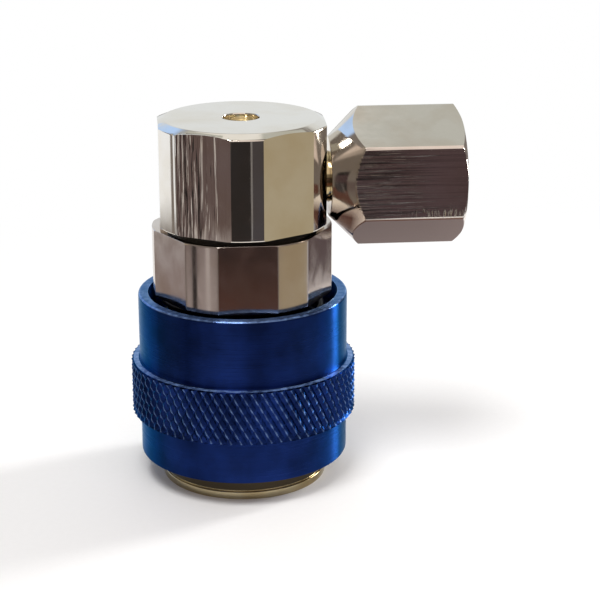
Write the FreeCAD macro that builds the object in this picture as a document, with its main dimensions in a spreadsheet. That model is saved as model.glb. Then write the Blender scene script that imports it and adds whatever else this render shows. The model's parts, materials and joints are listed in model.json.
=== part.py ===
import FreeCAD, Part
import math
import operator
import os
import Sketcher

# Refrigerant quick coupler: a socket that locks on a service port with six balls and a
# sliding sleeve, a hexagon body, and a head that swivels on it and carries a side hose nut.
# Origin on the main axis at the foot's face, +Z up, side port along +X, sizes in millimetres.

BALL_COUNT = 6
FLOW_HOLE_COUNT = 6
KNURL_COUNT = 72
KNURL_LEAN = 32.0
CORNER_PER_FLAT = 1 / math.sqrt(3)
THIRTY_DEGREE_SLOPE = math.tan(math.radians(30))

SIZES = (
    ("bore_radius", 6.6, "socket bore that takes the service port"),
    ("bore_lead_in", 0.8, "chamfer at the mouth of the bore"),
    ("port_depth", 17.5, "depth at which the end of the port stops"),
    ("ball_relief_depth", 0.2, "turned relief in the bore across the balls"),
    ("ball_relief_width", 4.0, "turned relief in the bore across the balls"),
    ("foot_radius", 11.7, "flange at the foot of the socket"),
    ("foot_height", 3.7, "flange face that the sleeve comes down on"),
    ("foot_band", 1.1, "band below the groove in the flange"),
    ("foot_groove_width", 0.25, "turned groove in the flange"),
    ("foot_groove_depth", 0.3, "turned groove in the flange"),
    ("foot_edge", 0.25, "chamfer of the flange"),
    ("barrel_radius", 9.3, "outside of the socket inside the sleeve"),
    ("barrel_height", 27.2, "shoulder that carries the hexagon body"),
    ("web_height", 1.8, "web between the bore and the valve chamber"),
    ("throat_radius", 3.2, "hole in the web that the valve closes"),
    ("chamber_radius", 5.5, "valve chamber"),
    ("thread_radius", 7.45, "threaded end of the socket"),
    ("thread_length", 5.8, "threaded end of the socket"),
    ("thread_clearance", 0.05, "hexagon body over the threaded end"),
    ("thread_end_gap", 0.8, "hexagon body's counterbore beyond the threaded end"),
    ("port_seal_height", 15.6, "O-ring on the service port"),
    ("port_seal_section", 0.85, "section radius of the port's O-ring"),
    ("port_seal_bite", 0.3, "how far the port's O-ring stands into the bore"),
    ("body_seal_rise", 4.3, "O-ring between socket and hexagon body, above the shoulder"),
    ("body_seal_section", 0.575, "section radius of the body's O-ring"),
    ("seal_side_gap", 0.2, "groove beside an O-ring, both sides together"),
    ("ball_radius", 1.985, "locking ball"),
    ("ball_height", 8.6, "ring of locking balls"),
    ("ball_bite", 1.0, "how far a locked ball stands into the bore"),
    ("ball_hole_clearance", 0.045, "ball in its hole"),
    ("ball_free_clearance", 0.008, "a released ball outside the bore"),
    ("sleeve_radius", 14.72, "outside of the locking sleeve"),
    ("sleeve_wall", 1.43, "wall at the sleeve's rim"),
    ("sleeve_height", 23.43, "locking sleeve from edge to edge"),
    ("sleeve_edge", 0.3, "chamfers of the sleeve's ends"),
    ("sleeve_seat_gap", 0.05, "sleeve over the flange at rest"),
    ("sleeve_travel", 4.2, "pull that frees the balls"),
    ("sleeve_fit", 0.07, "sleeve's land on the socket"),
    ("cam_clearance", 0.03, "ball to the sleeve's cam"),
    ("shelf_height", 10.25, "spring shelf above the sleeve's lower end"),
    ("knurl_radius", 15.95, "raised grip band"),
    ("knurl_bottom", 6.13, "grip band above the sleeve's lower end"),
    ("knurl_width", 7.58, "grip band"),
    ("knurl_edge", 0.15, "chamfers of the grip band"),
    ("knurl_depth", 0.45, "V grooves that cross on the grip band"),
    ("knurl_ridge", 0.27, "ridges between neighbouring V grooves above their floors"),
    ("sleeve_spring_radius", 11.1, "mean radius of the sleeve's spring"),
    ("sleeve_spring_wire", 1.2, "wire of the sleeve's spring"),
    ("sleeve_spring_pitch", 2.9, "pitch of the sleeve's spring"),
    ("spring_seat_gap", 0.03, "spring ends to their seats"),
    ("body_across_flats", 23.8, "hexagon body"),
    ("body_corner_radius", 12.55, "turned corners of the hexagon body"),
    ("body_hex_height", 9.6, "hexagon body"),
    ("body_edge", 0.2, "chamfers of the hexagon body"),
    ("passage_radius", 2.4, "bore from the valve chamber up the spigot"),
    ("spigot_radius", 6.0, "spigot that the head turns on"),
    ("spigot_fit", 0.05, "head on the spigot"),
    ("spigot_end_gap", 0.1, "spigot's shoulder to the head's roof"),
    ("waist_depth", 0.8, "ring channel round the cross holes"),
    ("waist_width", 3.1, "ring channel round the cross holes"),
    ("cross_hole_radius", 1.5, "cross holes of the spigot"),
    ("passage_overrun", 0.6, "spigot's bore above the cross holes"),
    ("swivel_seal_offset", 3.2, "swivel O-rings above and below the side port"),
    ("swivel_seal_section", 0.55, "section radius of the swivel O-rings"),
    ("swivel_seal_squeeze_gap", 0.03, "swivel O-rings to the head's bore"),
    ("ring_offset", 5.15, "retaining ring above the side port"),
    ("ring_section", 0.3, "section radius of the retaining ring"),
    ("ring_side_gap", 0.1, "groove beside the retaining ring, both sides together"),
    ("nose_radius", 2.5, "spigot's nose in the hole of the head's top"),
    ("nose_recess", 1.0, "nose below the head's top face"),
    ("washer_thickness", 0.5, "thrust washer under the head"),
    ("washer_radius", 10.4, "thrust washer under the head"),
    ("washer_bore_gap", 0.1, "thrust washer round the spigot"),
    ("head_gap", 0.6, "head above the hexagon body"),
    ("head_height", 14.47, "swivel head"),
    ("head_across_flats", 22.8, "swivel head"),
    ("head_corner_radius", 12.1, "turned corners of the swivel head"),
    ("head_top_radius", 10.64, "round top face of the swivel head"),
    ("head_chamfer_height", 0.6, "chamfer round the head's top at its corners"),
    ("head_roof", 2.27, "roof of the head over the spigot's shoulder"),
    ("port_rise", 5.85, "side port above the head's lower face"),
    ("neck_radius", 3.5, "tube between the head and the nut"),
    ("neck_depth", 2.8, "tube let into the head's flat"),
    ("neck_joint_clearance", 0.02, "tube in the head"),
    ("neck_bore", 1.9, "bore of the tube"),
    ("collar_radius", 4.7, "collar that holds the nut on the tube"),
    ("collar_length", 4.0, "collar that holds the nut on the tube"),
    ("gasket_radius", 3.6, "hose gasket in the collar's face"),
    ("gasket_thickness", 1.5, "hose gasket"),
    ("gasket_proud", 0.5, "hose gasket in front of the collar"),
    ("gasket_side_gap", 0.05, "hose gasket in its recess"),
    ("nut_across_flats", 17.0, "hose nut"),
    ("nut_gap", 0.6, "nut to the head's flat"),
    ("nut_rear_radius", 5.5, "small end of the nut's rear cone"),
    ("nut_length", 18.27, "hose nut"),
    ("nut_face_radius", 8.4, "round front face of the nut"),
    ("nut_rear_wall", 5.2, "nut's rear end before its thread"),
    ("nut_bore_fit", 0.07, "nut on the tube"),
    ("nut_thread_radius", 4.95, "minor radius of the nut's 7/16-20 thread"),
    ("nut_relief_radius", 5.4, "relief behind the nut's thread"),
    ("nut_relief_gap", 0.1, "relief in front of the hose gasket"),
    ("nut_mouth_edge", 0.6, "chamfer at the mouth of the thread"),
    ("nut_play", 0.1, "nut's shoulder behind the collar"),
    ("nut_roll", 5.0, "degrees that the nut is turned at rest"),
    ("valve_seal_radius", 4.3, "ring that closes on the web"),
    ("valve_seal_thickness", 0.8, "ring that closes on the web"),
    ("valve_seat_gap", 0.03, "seal ring above the web at rest"),
    ("valve_disc_radius", 4.5, "disc of the valve stem"),
    ("valve_disc_height", 1.5, "disc of the valve stem"),
    ("valve_hub_radius", 1.95, "stem inside the seal ring"),
    ("valve_tip_radius", 1.2, "tip that opens the service port's core"),
    ("valve_tip_reach", 4.0, "tip below the port's stop"),
    ("valve_travel", 2.5, "lift of the valve"),
    ("stem_radius", 1.5, "stem in its guide"),
    ("stem_fit", 0.05, "stem in its guide"),
    ("stem_overrun", 0.7, "stem above the guide at rest"),
    ("guide_height", 2.0, "stem guide"),
    ("guide_clearance", 0.05, "stem guide in the valve chamber"),
    ("flow_hole_circle", 4.3, "flow holes of the stem guide"),
    ("flow_hole_radius", 0.75, "flow holes of the stem guide"),
    ("valve_spring_radius", 2.9, "mean radius of the valve's spring"),
    ("valve_spring_wire", 0.6, "wire of the valve's spring"),
    ("valve_spring_pitch", 2.0, "pitch of the valve's spring"),
)

CUTS = ("PartDesign::Pocket", "PartDesign::Groove")

OPERATIONS = {"+": operator.add, "-": operator.sub, "*": operator.mul, "/": operator.truediv}


doc = FreeCAD.newDocument("quick_coupler")


class Size:
    """A number together with the expression that keeps it bound to the sheet."""

    def __init__(self, value, text):
        self.value = value
        self.text = text

    def __add__(self, other):
        return combined(self, "+", other)

    def __radd__(self, other):
        return combined(other, "+", self)

    def __sub__(self, other):
        return combined(self, "-", other)

    def __rsub__(self, other):
        return combined(other, "-", self)

    def __mul__(self, other):
        return combined(self, "*", other)

    def __rmul__(self, other):
        return combined(other, "*", self)

    def __truediv__(self, other):
        return combined(self, "/", other)

    def __neg__(self):
        return combined(0, "-", self)


def as_size(quantity):
    """A Size as it is, or a plain number as a Size."""
    if isinstance(quantity, Size):
        return quantity
    return Size(float(quantity), f"{float(quantity):.9f}")


def combined(left, sign, right):
    """One Size from two, worked out as a number and as an expression."""
    left, right = as_size(left), as_size(right)
    return Size(OPERATIONS[sign](left.value, right.value), f"({left.text} {sign} {right.text})")


class Sizes:
    """The driving sizes by name."""


class Layout:
    """Places that follow from the driving sizes, in the coupler's own frame."""

    def __init__(self, size):
        self.seat = size.port_depth + size.web_height
        self.ball_rest = size.bore_radius - size.ball_bite + size.ball_radius
        self.sleeve_bottom = size.foot_height + size.sleeve_seat_gap
        self.shelf = self.sleeve_bottom + size.shelf_height
        self.body_seal = size.barrel_height + size.body_seal_rise
        self.body_top = size.barrel_height + size.body_hex_height
        self.counterbore_top = size.barrel_height + size.thread_length + size.thread_end_gap
        self.head_bottom = self.body_top + size.head_gap
        self.head_top = self.head_bottom + size.head_height
        self.port = self.head_bottom + size.port_rise
        self.head_flat = size.head_across_flats / 2
        self.neck_start = self.head_flat - size.neck_depth
        self.nut_rear = self.head_flat + size.nut_gap
        self.collar_back = self.nut_rear + size.nut_rear_wall + size.nut_play
        self.collar_front = self.collar_back + size.collar_length
        self.disc_bottom = self.seat + size.valve_seat_gap + size.valve_seal_thickness
        self.disc_top = self.disc_bottom + size.valve_disc_height
        self.guide_bottom = self.counterbore_top - size.guide_height


def make_sheet():
    """Writes the driving sizes in a sheet and returns them bound to its cells."""
    sheet = doc.addObject("Spreadsheet::Sheet", "sizes")
    size = Sizes()
    for row, (alias, value, note) in enumerate(SIZES, start=1):
        sheet.set(f"A{row}", note)
        sheet.set(f"B{row}", str(value))
        sheet.setAlias(f"B{row}", alias)
        setattr(size, alias, Size(value, f"sizes.{alias}"))
    doc.recompute()
    return size


def bind(thing, path, quantity):
    """Ties a property to the sheet."""
    thing.setExpression(path, as_size(quantity).text)


def new_body(label, lift=None):
    """A body of its own, raised to its place on the main axis."""
    body = doc.addObject("PartDesign::Body", label)
    body.Label = label
    if lift is not None:
        bind(body, "Placement.Base.z", lift)
    return body


def origin_feature(body, role):
    """The body's own plane or axis with this role."""
    return next(item for item in body.Origin.OriginFeatures if item.Role == role)


def new_sketch(body, name, plane):
    """A sketch on one of the body's own planes."""
    sketch = body.newObject("Sketcher::SketchObject", f"{body.Name}_{name}")
    sketch.AttachmentSupport = [(origin_feature(body, plane), "")]
    sketch.MapMode = "FlatFace"
    return sketch


def pin_coordinate(sketch, line, kind, quantity):
    """Holds one coordinate of a line's start point at its size."""
    quantity = as_size(quantity)
    if quantity.value == 0 and "sizes" not in quantity.text:
        axis = -2 if kind == "DistanceX" else -1
        sketch.addConstraint(Sketcher.Constraint("PointOnObject", line, 1, axis))
        return
    number = sketch.addConstraint(Sketcher.Constraint(kind, -1, 1, line, 1, quantity.value))
    name = f"{'across' if kind == 'DistanceX' else 'up'}_{line}"
    sketch.renameConstraint(number, name)
    bind(sketch, f"Constraints.{name}", quantity)


def draw_outline(sketch, points):
    """A closed outline of straight lines through points bound to the sheet."""
    corners = [FreeCAD.Vector(as_size(x).value, as_size(y).value, 0) for x, y in points]
    first = sketch.GeometryCount
    for start, end in zip(corners, corners[1:] + corners[:1]):
        sketch.addGeometry(Part.LineSegment(start, end), False)
    for index in range(len(points)):
        following = first + (index + 1) % len(points)
        sketch.addConstraint(Sketcher.Constraint("Coincident", first + index, 2, following, 1))
    for index, (x, y) in enumerate(points):
        pin_coordinate(sketch, first + index, "DistanceX", x)
        pin_coordinate(sketch, first + index, "DistanceY", y)


def draw_circle(sketch, x, y, radius):
    """A circle with its centre and radius bound to the sheet."""
    x, y, radius = as_size(x), as_size(y), as_size(radius)
    centre = FreeCAD.Vector(x.value, y.value, 0)
    circle = sketch.addGeometry(Part.Circle(centre, FreeCAD.Vector(0, 0, 1), radius.value), False)
    for kind, quantity in (("DistanceX", x), ("DistanceY", y)):
        if quantity.value == 0:
            axis = -2 if kind == "DistanceX" else -1
            sketch.addConstraint(Sketcher.Constraint("PointOnObject", circle, 3, axis))
            continue
        number = sketch.addConstraint(Sketcher.Constraint(kind, -1, 1, circle, 3, quantity.value))
        bind(sketch, f"Constraints[{number}]", quantity)
    number = sketch.addConstraint(Sketcher.Constraint("Radius", circle, radius.value))
    bind(sketch, f"Constraints[{number}]", radius)


def revolve(body, name, points, axis="V_Axis", cut=False, height=None):
    """Turns an outline in the XZ plane about the sketch's vertical or horizontal axis."""
    sketch = new_sketch(body, f"{name}_outline", "XZ_Plane")
    if height is not None:
        bind(sketch, "AttachmentOffset.Base.y", height)
    draw_outline(sketch, points)
    return turn_sketch(body, name, sketch, axis, cut)


def turn_sketch(body, name, sketch, axis, cut, sweep=360):
    """Turns a finished sketch about one of its axes."""
    kind = "PartDesign::Groove" if cut else "PartDesign::Revolution"
    turned = body.newObject(kind, f"{body.Name}_{name}")
    turned.Profile = sketch
    turned.ReferenceAxis = (sketch, [axis])
    turned.Angle = sweep
    return turned


def cut_through(body, name, sketch):
    """Cuts a sketch through the whole body on the side that its plane faces."""
    pocket = body.newObject("PartDesign::Pocket", f"{body.Name}_{name}")
    pocket.Profile = sketch
    pocket.Type = "ThroughAll"
    pocket.Reversed = True
    return pocket


def mill_flats(body, across_flats, plane, flat_up):
    """Mills a turned blank to a hexagon, with a flat or a corner on the sketch's vertical."""
    sketch = new_sketch(body, "flats_outline", plane)
    half = across_flats / 2
    corner = across_flats * CORNER_PER_FLAT
    long_way = [(corner, 0), (corner / 2, half), (-corner / 2, half),
                (-corner, 0), (-corner / 2, -half), (corner / 2, -half)]
    draw_outline(sketch, long_way if flat_up else [(y, x) for x, y in long_way])
    draw_circle(sketch, 0, 0, across_flats)
    return cut_through(body, "flats", sketch)


def drill_sideways(body, name, radius, start, end, height):
    """Drills along +X between two distances from the main axis, at a height in the body."""
    return revolve(body, name, [(start, 0), (end, 0), (end, radius), (start, radius)],
                   axis="H_Axis", cut=True, height=height)


def drill_ball_hole(body, name, radius, rest, end, height):
    """Drills a hole along +X that ends in a round seat about the ball's rest place."""
    sketch = new_sketch(body, f"{name}_outline", "XZ_Plane")
    bind(sketch, "AttachmentOffset.Base.y", height)
    tip = FreeCAD.Vector(rest.value - radius.value, 0, 0)
    shoulder = FreeCAD.Vector(rest.value, radius.value, 0)
    far_up = FreeCAD.Vector(end.value, radius.value, 0)
    far = FreeCAD.Vector(end.value, 0, 0)
    circle = Part.Circle(FreeCAD.Vector(rest.value, 0, 0), FreeCAD.Vector(0, 0, 1), radius.value)
    seat = sketch.addGeometry(Part.ArcOfCircle(circle, math.pi / 2, math.pi), False)
    wall = sketch.addGeometry(Part.LineSegment(shoulder, far_up), False)
    mouth = sketch.addGeometry(Part.LineSegment(far_up, far), False)
    middle = sketch.addGeometry(Part.LineSegment(far, tip), False)
    for constraint in (("Coincident", seat, 1, wall, 1), ("Coincident", wall, 2, mouth, 1),
                       ("Coincident", mouth, 2, middle, 1), ("Coincident", middle, 2, seat, 2),
                       ("PointOnObject", seat, 3, -1), ("PointOnObject", mouth, 2, -1),
                       ("PointOnObject", seat, 2, -1), ("Horizontal", wall),
                       ("Vertical", mouth), ("Vertical", seat, 3, seat, 1)):
        sketch.addConstraint(Sketcher.Constraint(*constraint))
    for kind, place, quantity in (("DistanceX", (-1, 1, seat, 3), rest), ("Radius", (seat,), radius),
                                  ("DistanceX", (-1, 1, mouth, 2), end)):
        number = sketch.addConstraint(Sketcher.Constraint(kind, *place, quantity.value))
        bind(sketch, f"Constraints[{number}]", quantity)
    return turn_sketch(body, name, sketch, "H_Axis", True)


def cut_knurl(body, name, size, lean):
    """Cuts V grooves side by side round the grip band, leaning one way from the axis."""
    slant = math.cos(math.radians(KNURL_LEAN))
    middle = size.knurl_bottom + size.knurl_width / 2
    half_spacing = size.knurl_radius * (math.pi * slant / KNURL_COUNT)
    half_width = half_spacing / size.knurl_ridge * (size.knurl_depth + size.knurl_ridge)
    outside = size.knurl_radius + size.knurl_ridge
    sketch = new_sketch(body, f"{name}_outline", "XY_Plane")
    sketch.AttachmentOffset = FreeCAD.Placement(
        FreeCAD.Vector(0, 0, 0), FreeCAD.Rotation(FreeCAD.Vector(1, 0, 0), lean))
    bind(sketch, "AttachmentOffset.Base.z", middle)
    draw_outline(sketch, [(size.knurl_radius - size.knurl_depth, 0),
                          (outside, half_width), (outside, -half_width)])
    groove = body.newObject("PartDesign::Pocket", f"{body.Name}_{name}")
    groove.Profile = sketch
    groove.SideType = "Symmetric"
    bind(groove, "Length", (size.knurl_width + 2 * size.knurl_edge) / slant)
    repeat_round(body, f"{name}s", [groove], KNURL_COUNT)


def repeat_round(body, name, features, count, angle=360):
    """Repeats features round the main axis."""
    pattern = body.newObject("PartDesign::PolarPattern", f"{body.Name}_{name}")
    pattern.Originals = features
    pattern.Axis = (origin_feature(body, "Z_Axis"), [""])
    pattern.Angle = angle
    pattern.Occurrences = count
    body.Tip = pattern
    return pattern


def wire_section(across, radius):
    """Eight corners of a round wire's section, which keep rings and springs light."""
    turns = [math.pi / 8 * (2 * index + 1) for index in range(8)]
    return [(across + radius * round(math.cos(turn), 9), radius * round(math.sin(turn), 9))
            for turn in turns]


def wire_ring(label, radius, section, height, sweep=360):
    """A ring of round section about the main axis."""
    body = new_body(label, height)
    sketch = new_sketch(body, "section_outline", "XZ_Plane")
    draw_outline(sketch, wire_section(radius, section))
    return turn_sketch(body, "ring", sketch, "V_Axis", False, sweep)


def seal_groove(floor, wall, middle, section, side_gap):
    """The outline of a rectangular groove for an O-ring."""
    half = section + side_gap / 2
    return [(floor, middle - half), (wall, middle - half), (wall, middle + half), (floor, middle + half)]


def make_lower_socket(size, place):
    """The socket: foot, barrel, web with the valve's throat, and threaded end."""
    body = new_body("lower_socket")
    top = size.barrel_height + size.thread_length
    groove_floor = size.foot_radius - size.foot_groove_depth
    groove_top = size.foot_band + size.foot_groove_width
    revolve(body, "blank", [
        (size.bore_radius + size.bore_lead_in, 0),
        (size.foot_radius - size.foot_edge, 0),
        (size.foot_radius, size.foot_edge),
        (size.foot_radius, size.foot_band),
        (groove_floor, size.foot_band),
        (groove_floor, groove_top),
        (size.foot_radius, groove_top),
        (size.foot_radius, size.foot_height),
        (size.barrel_radius, size.foot_height),
        (size.barrel_radius, size.barrel_height),
        (size.thread_radius, size.barrel_height),
        (size.thread_radius, top),
        (size.chamber_radius, top),
        (size.chamber_radius, place.seat),
        (size.throat_radius, place.seat),
        (size.throat_radius, size.port_depth),
        (size.bore_radius, size.port_depth),
        (size.bore_radius, size.bore_lead_in),
    ])
    port_groove = size.bore_radius - size.port_seal_bite + 2 * size.port_seal_section
    revolve(body, "port_seal_groove", seal_groove(
        size.throat_radius, port_groove, size.port_seal_height, size.port_seal_section,
        size.seal_side_gap), cut=True)
    body_groove = size.thread_radius + size.thread_clearance - 2 * size.body_seal_section
    revolve(body, "body_seal_groove", seal_groove(
        body_groove, size.barrel_radius, place.body_seal, size.body_seal_section,
        size.seal_side_gap), cut=True)
    relief_half = size.ball_relief_width / 2
    relief_wall = size.bore_radius + size.ball_relief_depth
    revolve(body, "ball_relief", [
        (size.throat_radius, size.ball_height - relief_half),
        (relief_wall, size.ball_height - relief_half),
        (relief_wall, size.ball_height + relief_half),
        (size.throat_radius, size.ball_height + relief_half),
    ], cut=True)
    hole_radius = size.ball_radius + size.ball_hole_clearance
    hole = drill_ball_hole(body, "ball_hole", hole_radius, place.ball_rest,
                           size.foot_radius, size.ball_height)
    repeat_round(body, "ball_holes", [hole], BALL_COUNT)


def make_hex_body(size, place):
    """The hexagon body with the bored spigot that the head turns on."""
    body = new_body("hex_body", size.barrel_height)
    counterbore = size.thread_radius + size.thread_clearance
    counterbore_end = size.thread_length + size.thread_end_gap
    port = place.port - size.barrel_height
    shoulder = place.head_top - size.head_roof - size.spigot_end_gap - size.barrel_height
    nose_top = place.head_top - size.nose_recess - size.barrel_height
    passage_end = port + size.cross_hole_radius + size.passage_overrun
    revolve(body, "blank", [
        (counterbore, 0),
        (size.body_corner_radius - size.body_edge, 0),
        (size.body_corner_radius, size.body_edge),
        (size.body_corner_radius, size.body_hex_height - size.body_edge),
        (size.body_corner_radius - size.body_edge, size.body_hex_height),
        (size.spigot_radius, size.body_hex_height),
        (size.spigot_radius, port - size.waist_width / 2),
        (size.spigot_radius - size.waist_depth, port - size.waist_width / 2),
        (size.spigot_radius - size.waist_depth, port + size.waist_width / 2),
        (size.spigot_radius, port + size.waist_width / 2),
        (size.spigot_radius, shoulder),
        (size.nose_radius, shoulder),
        (size.nose_radius, nose_top),
        (0, nose_top),
        (0, passage_end),
        (size.passage_radius, passage_end),
        (size.passage_radius, counterbore_end),
        (counterbore, counterbore_end),
    ])
    mill_flats(body, size.body_across_flats, "XY_Plane", flat_up=True)
    bore = size.spigot_radius + size.spigot_fit
    seal_floor = bore - size.swivel_seal_squeeze_gap - 2 * size.swivel_seal_section
    for name, middle in (("lower", port - size.swivel_seal_offset),
                         ("upper", port + size.swivel_seal_offset)):
        revolve(body, f"{name}_seal_groove", seal_groove(
            seal_floor, size.spigot_radius + size.spigot_fit, middle, size.swivel_seal_section,
            size.seal_side_gap), cut=True)
    revolve(body, "ring_groove", seal_groove(
        size.spigot_radius - size.ring_section - size.spigot_fit,
        size.spigot_radius + size.spigot_fit, port + size.ring_offset, size.ring_section,
        size.ring_side_gap), cut=True)
    hole = drill_sideways(body, "cross_hole", size.cross_hole_radius, 0, size.spigot_radius, port)
    repeat_round(body, "cross_holes", [hole], 4)


def make_sleeve(size, place):
    """The locking sleeve: grip band, ball cam, land on the socket and spring shelf."""
    body = new_body("locking_sleeve", place.sleeve_bottom)
    slope = (size.ball_bite + size.ball_free_clearance) / size.sleeve_travel
    normal = 1 + slope * slope / 2
    land = size.barrel_radius + size.sleeve_fit
    cam_at_balls = place.ball_rest + size.ball_radius * normal + size.cam_clearance
    ball_level = size.ball_height - place.sleeve_bottom
    cam_mouth = cam_at_balls + slope * ball_level
    cam_end = ball_level + (cam_at_balls - land) / slope
    knurl_top = size.knurl_bottom + size.knurl_width
    rim = size.sleeve_radius - size.sleeve_wall
    revolve(body, "blank", [
        (cam_mouth, 0),
        (size.sleeve_radius - size.sleeve_edge, 0),
        (size.sleeve_radius, size.sleeve_edge),
        (size.sleeve_radius, size.knurl_bottom),
        (size.knurl_radius - size.knurl_edge, size.knurl_bottom),
        (size.knurl_radius, size.knurl_bottom + size.knurl_edge),
        (size.knurl_radius, knurl_top - size.knurl_edge),
        (size.knurl_radius - size.knurl_edge, knurl_top),
        (size.sleeve_radius, knurl_top),
        (size.sleeve_radius, size.sleeve_height - size.sleeve_edge),
        (size.sleeve_radius - size.sleeve_edge, size.sleeve_height),
        (rim, size.sleeve_height),
        (rim, size.shelf_height),
        (land, size.shelf_height),
        (land, cam_end),
    ])
    cut_knurl(body, "left_groove", size, KNURL_LEAN)
    cut_knurl(body, "right_groove", size, -KNURL_LEAN)


def make_balls(size, place):
    """The locking balls, pressed into the bore by the sleeve's cam."""
    for index in range(BALL_COUNT):
        turn = math.radians(360 / BALL_COUNT * index)
        label = f"ball_{index + 1}"
        ball = doc.addObject("Part::Sphere", label)
        ball.Label = label
        bind(ball, "Radius", size.ball_radius)
        bind(ball, "Placement.Base.x", place.ball_rest * round(math.cos(turn), 9))
        bind(ball, "Placement.Base.y", place.ball_rest * round(math.sin(turn), 9))
        bind(ball, "Placement.Base.z", size.ball_height)


def make_seals(size, place):
    """The round rings: four O-rings and the ring that holds the head."""
    bite = size.port_seal_section - size.port_seal_bite
    wire_ring("port_seal", size.bore_radius + bite, size.port_seal_section, size.port_seal_height)
    body_ring = size.thread_radius + size.thread_clearance - size.body_seal_section
    wire_ring("body_seal", body_ring, size.body_seal_section, place.body_seal)
    swivel_ring = (size.spigot_radius + size.spigot_fit - size.swivel_seal_squeeze_gap
                   - size.swivel_seal_section)
    wire_ring("lower_swivel_seal", swivel_ring, size.swivel_seal_section,
              place.port - size.swivel_seal_offset)
    wire_ring("upper_swivel_seal", swivel_ring, size.swivel_seal_section,
              place.port + size.swivel_seal_offset)
    wire_ring("head_retaining_ring", size.spigot_radius, size.ring_section,
              place.port + size.ring_offset, sweep=330)


def make_thrust_washer(size, place):
    """The washer that the head turns on."""
    body = new_body("thrust_washer", place.body_top)
    bore = size.spigot_radius + size.washer_bore_gap
    revolve(body, "ring", [
        (bore, 0),
        (size.washer_radius, 0),
        (size.washer_radius, size.washer_thickness),
        (bore, size.washer_thickness),
    ])


def make_swivel_head(size, place):
    """The head: hexagon cap over the spigot with a side port along +X."""
    body = new_body("swivel_head", place.head_bottom)
    bore = size.spigot_radius + size.spigot_fit
    roof = size.head_height - size.head_roof
    hole = size.nose_radius + size.spigot_fit
    revolve(body, "blank", [
        (bore, 0),
        (size.head_corner_radius, 0),
        (size.head_corner_radius, size.head_height - size.head_chamfer_height),
        (size.head_top_radius, size.head_height),
        (hole, size.head_height),
        (hole, roof),
        (bore, roof),
    ])
    mill_flats(body, size.head_across_flats, "XY_Plane", flat_up=False)
    revolve(body, "ring_groove", seal_groove(
        size.spigot_radius, size.spigot_radius + size.ring_section + size.ring_side_gap,
        size.port_rise + size.ring_offset, size.ring_section, size.ring_side_gap), cut=True)
    drill_sideways(body, "side_passage", size.neck_bore, size.spigot_radius - size.waist_depth,
                   place.head_flat, size.port_rise)
    drill_sideways(body, "neck_hole", size.neck_radius + size.neck_joint_clearance,
                   place.neck_start, place.head_flat, size.port_rise)


def make_side_neck(size, place):
    """The tube from the head into the nut, with the collar that holds the nut."""
    body = new_body("side_neck", place.port)
    recess = place.collar_front - size.gasket_thickness + size.gasket_proud
    recess_radius = size.gasket_radius + size.gasket_side_gap
    revolve(body, "blank", [
        (place.neck_start, size.neck_bore),
        (recess, size.neck_bore),
        (recess, recess_radius),
        (place.collar_front, recess_radius),
        (place.collar_front, size.collar_radius),
        (place.collar_back, size.collar_radius),
        (place.collar_back, size.neck_radius),
        (place.neck_start, size.neck_radius),
    ], axis="H_Axis")


def make_hose_gasket(size, place):
    """The soft ring in the collar that the hose end seals on."""
    body = new_body("hose_gasket", place.port)
    front = place.collar_front + size.gasket_proud
    revolve(body, "ring", [
        (front - size.gasket_thickness, size.neck_bore),
        (front, size.neck_bore),
        (front, size.gasket_radius),
        (front - size.gasket_thickness, size.gasket_radius),
    ], axis="H_Axis")


def make_swivel_nut(size, place):
    """The hose nut: rear cone, hexagon, thread bore and mouth."""
    body = new_body("swivel_nut", place.port)
    body.Placement.Rotation = FreeCAD.Rotation(FreeCAD.Vector(-1, 0, 0), size.nut_roll.value)
    bind(body, "Placement.Rotation.Angle", size.nut_roll)
    blank = size.nut_across_flats * 0.6
    front = place.nut_rear + size.nut_length
    shoulder = place.nut_rear + size.nut_rear_wall
    bore = size.neck_radius + size.nut_bore_fit
    mouth = size.nut_thread_radius + size.nut_mouth_edge
    relief_end = place.collar_front + size.gasket_proud + size.nut_relief_gap
    revolve(body, "blank", [
        (place.nut_rear, bore),
        (shoulder, bore),
        (shoulder, size.nut_relief_radius),
        (relief_end, size.nut_relief_radius),
        (relief_end, size.nut_thread_radius),
        (front - size.nut_mouth_edge, size.nut_thread_radius),
        (front, mouth),
        (front, size.nut_face_radius),
        (front - (blank - size.nut_face_radius) * THIRTY_DEGREE_SLOPE, blank),
        (place.nut_rear + blank - size.nut_rear_radius, blank),
        (place.nut_rear, size.nut_rear_radius),
    ], axis="H_Axis")
    mill_flats(body, size.nut_across_flats, "YZ_Plane", flat_up=False)


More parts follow.
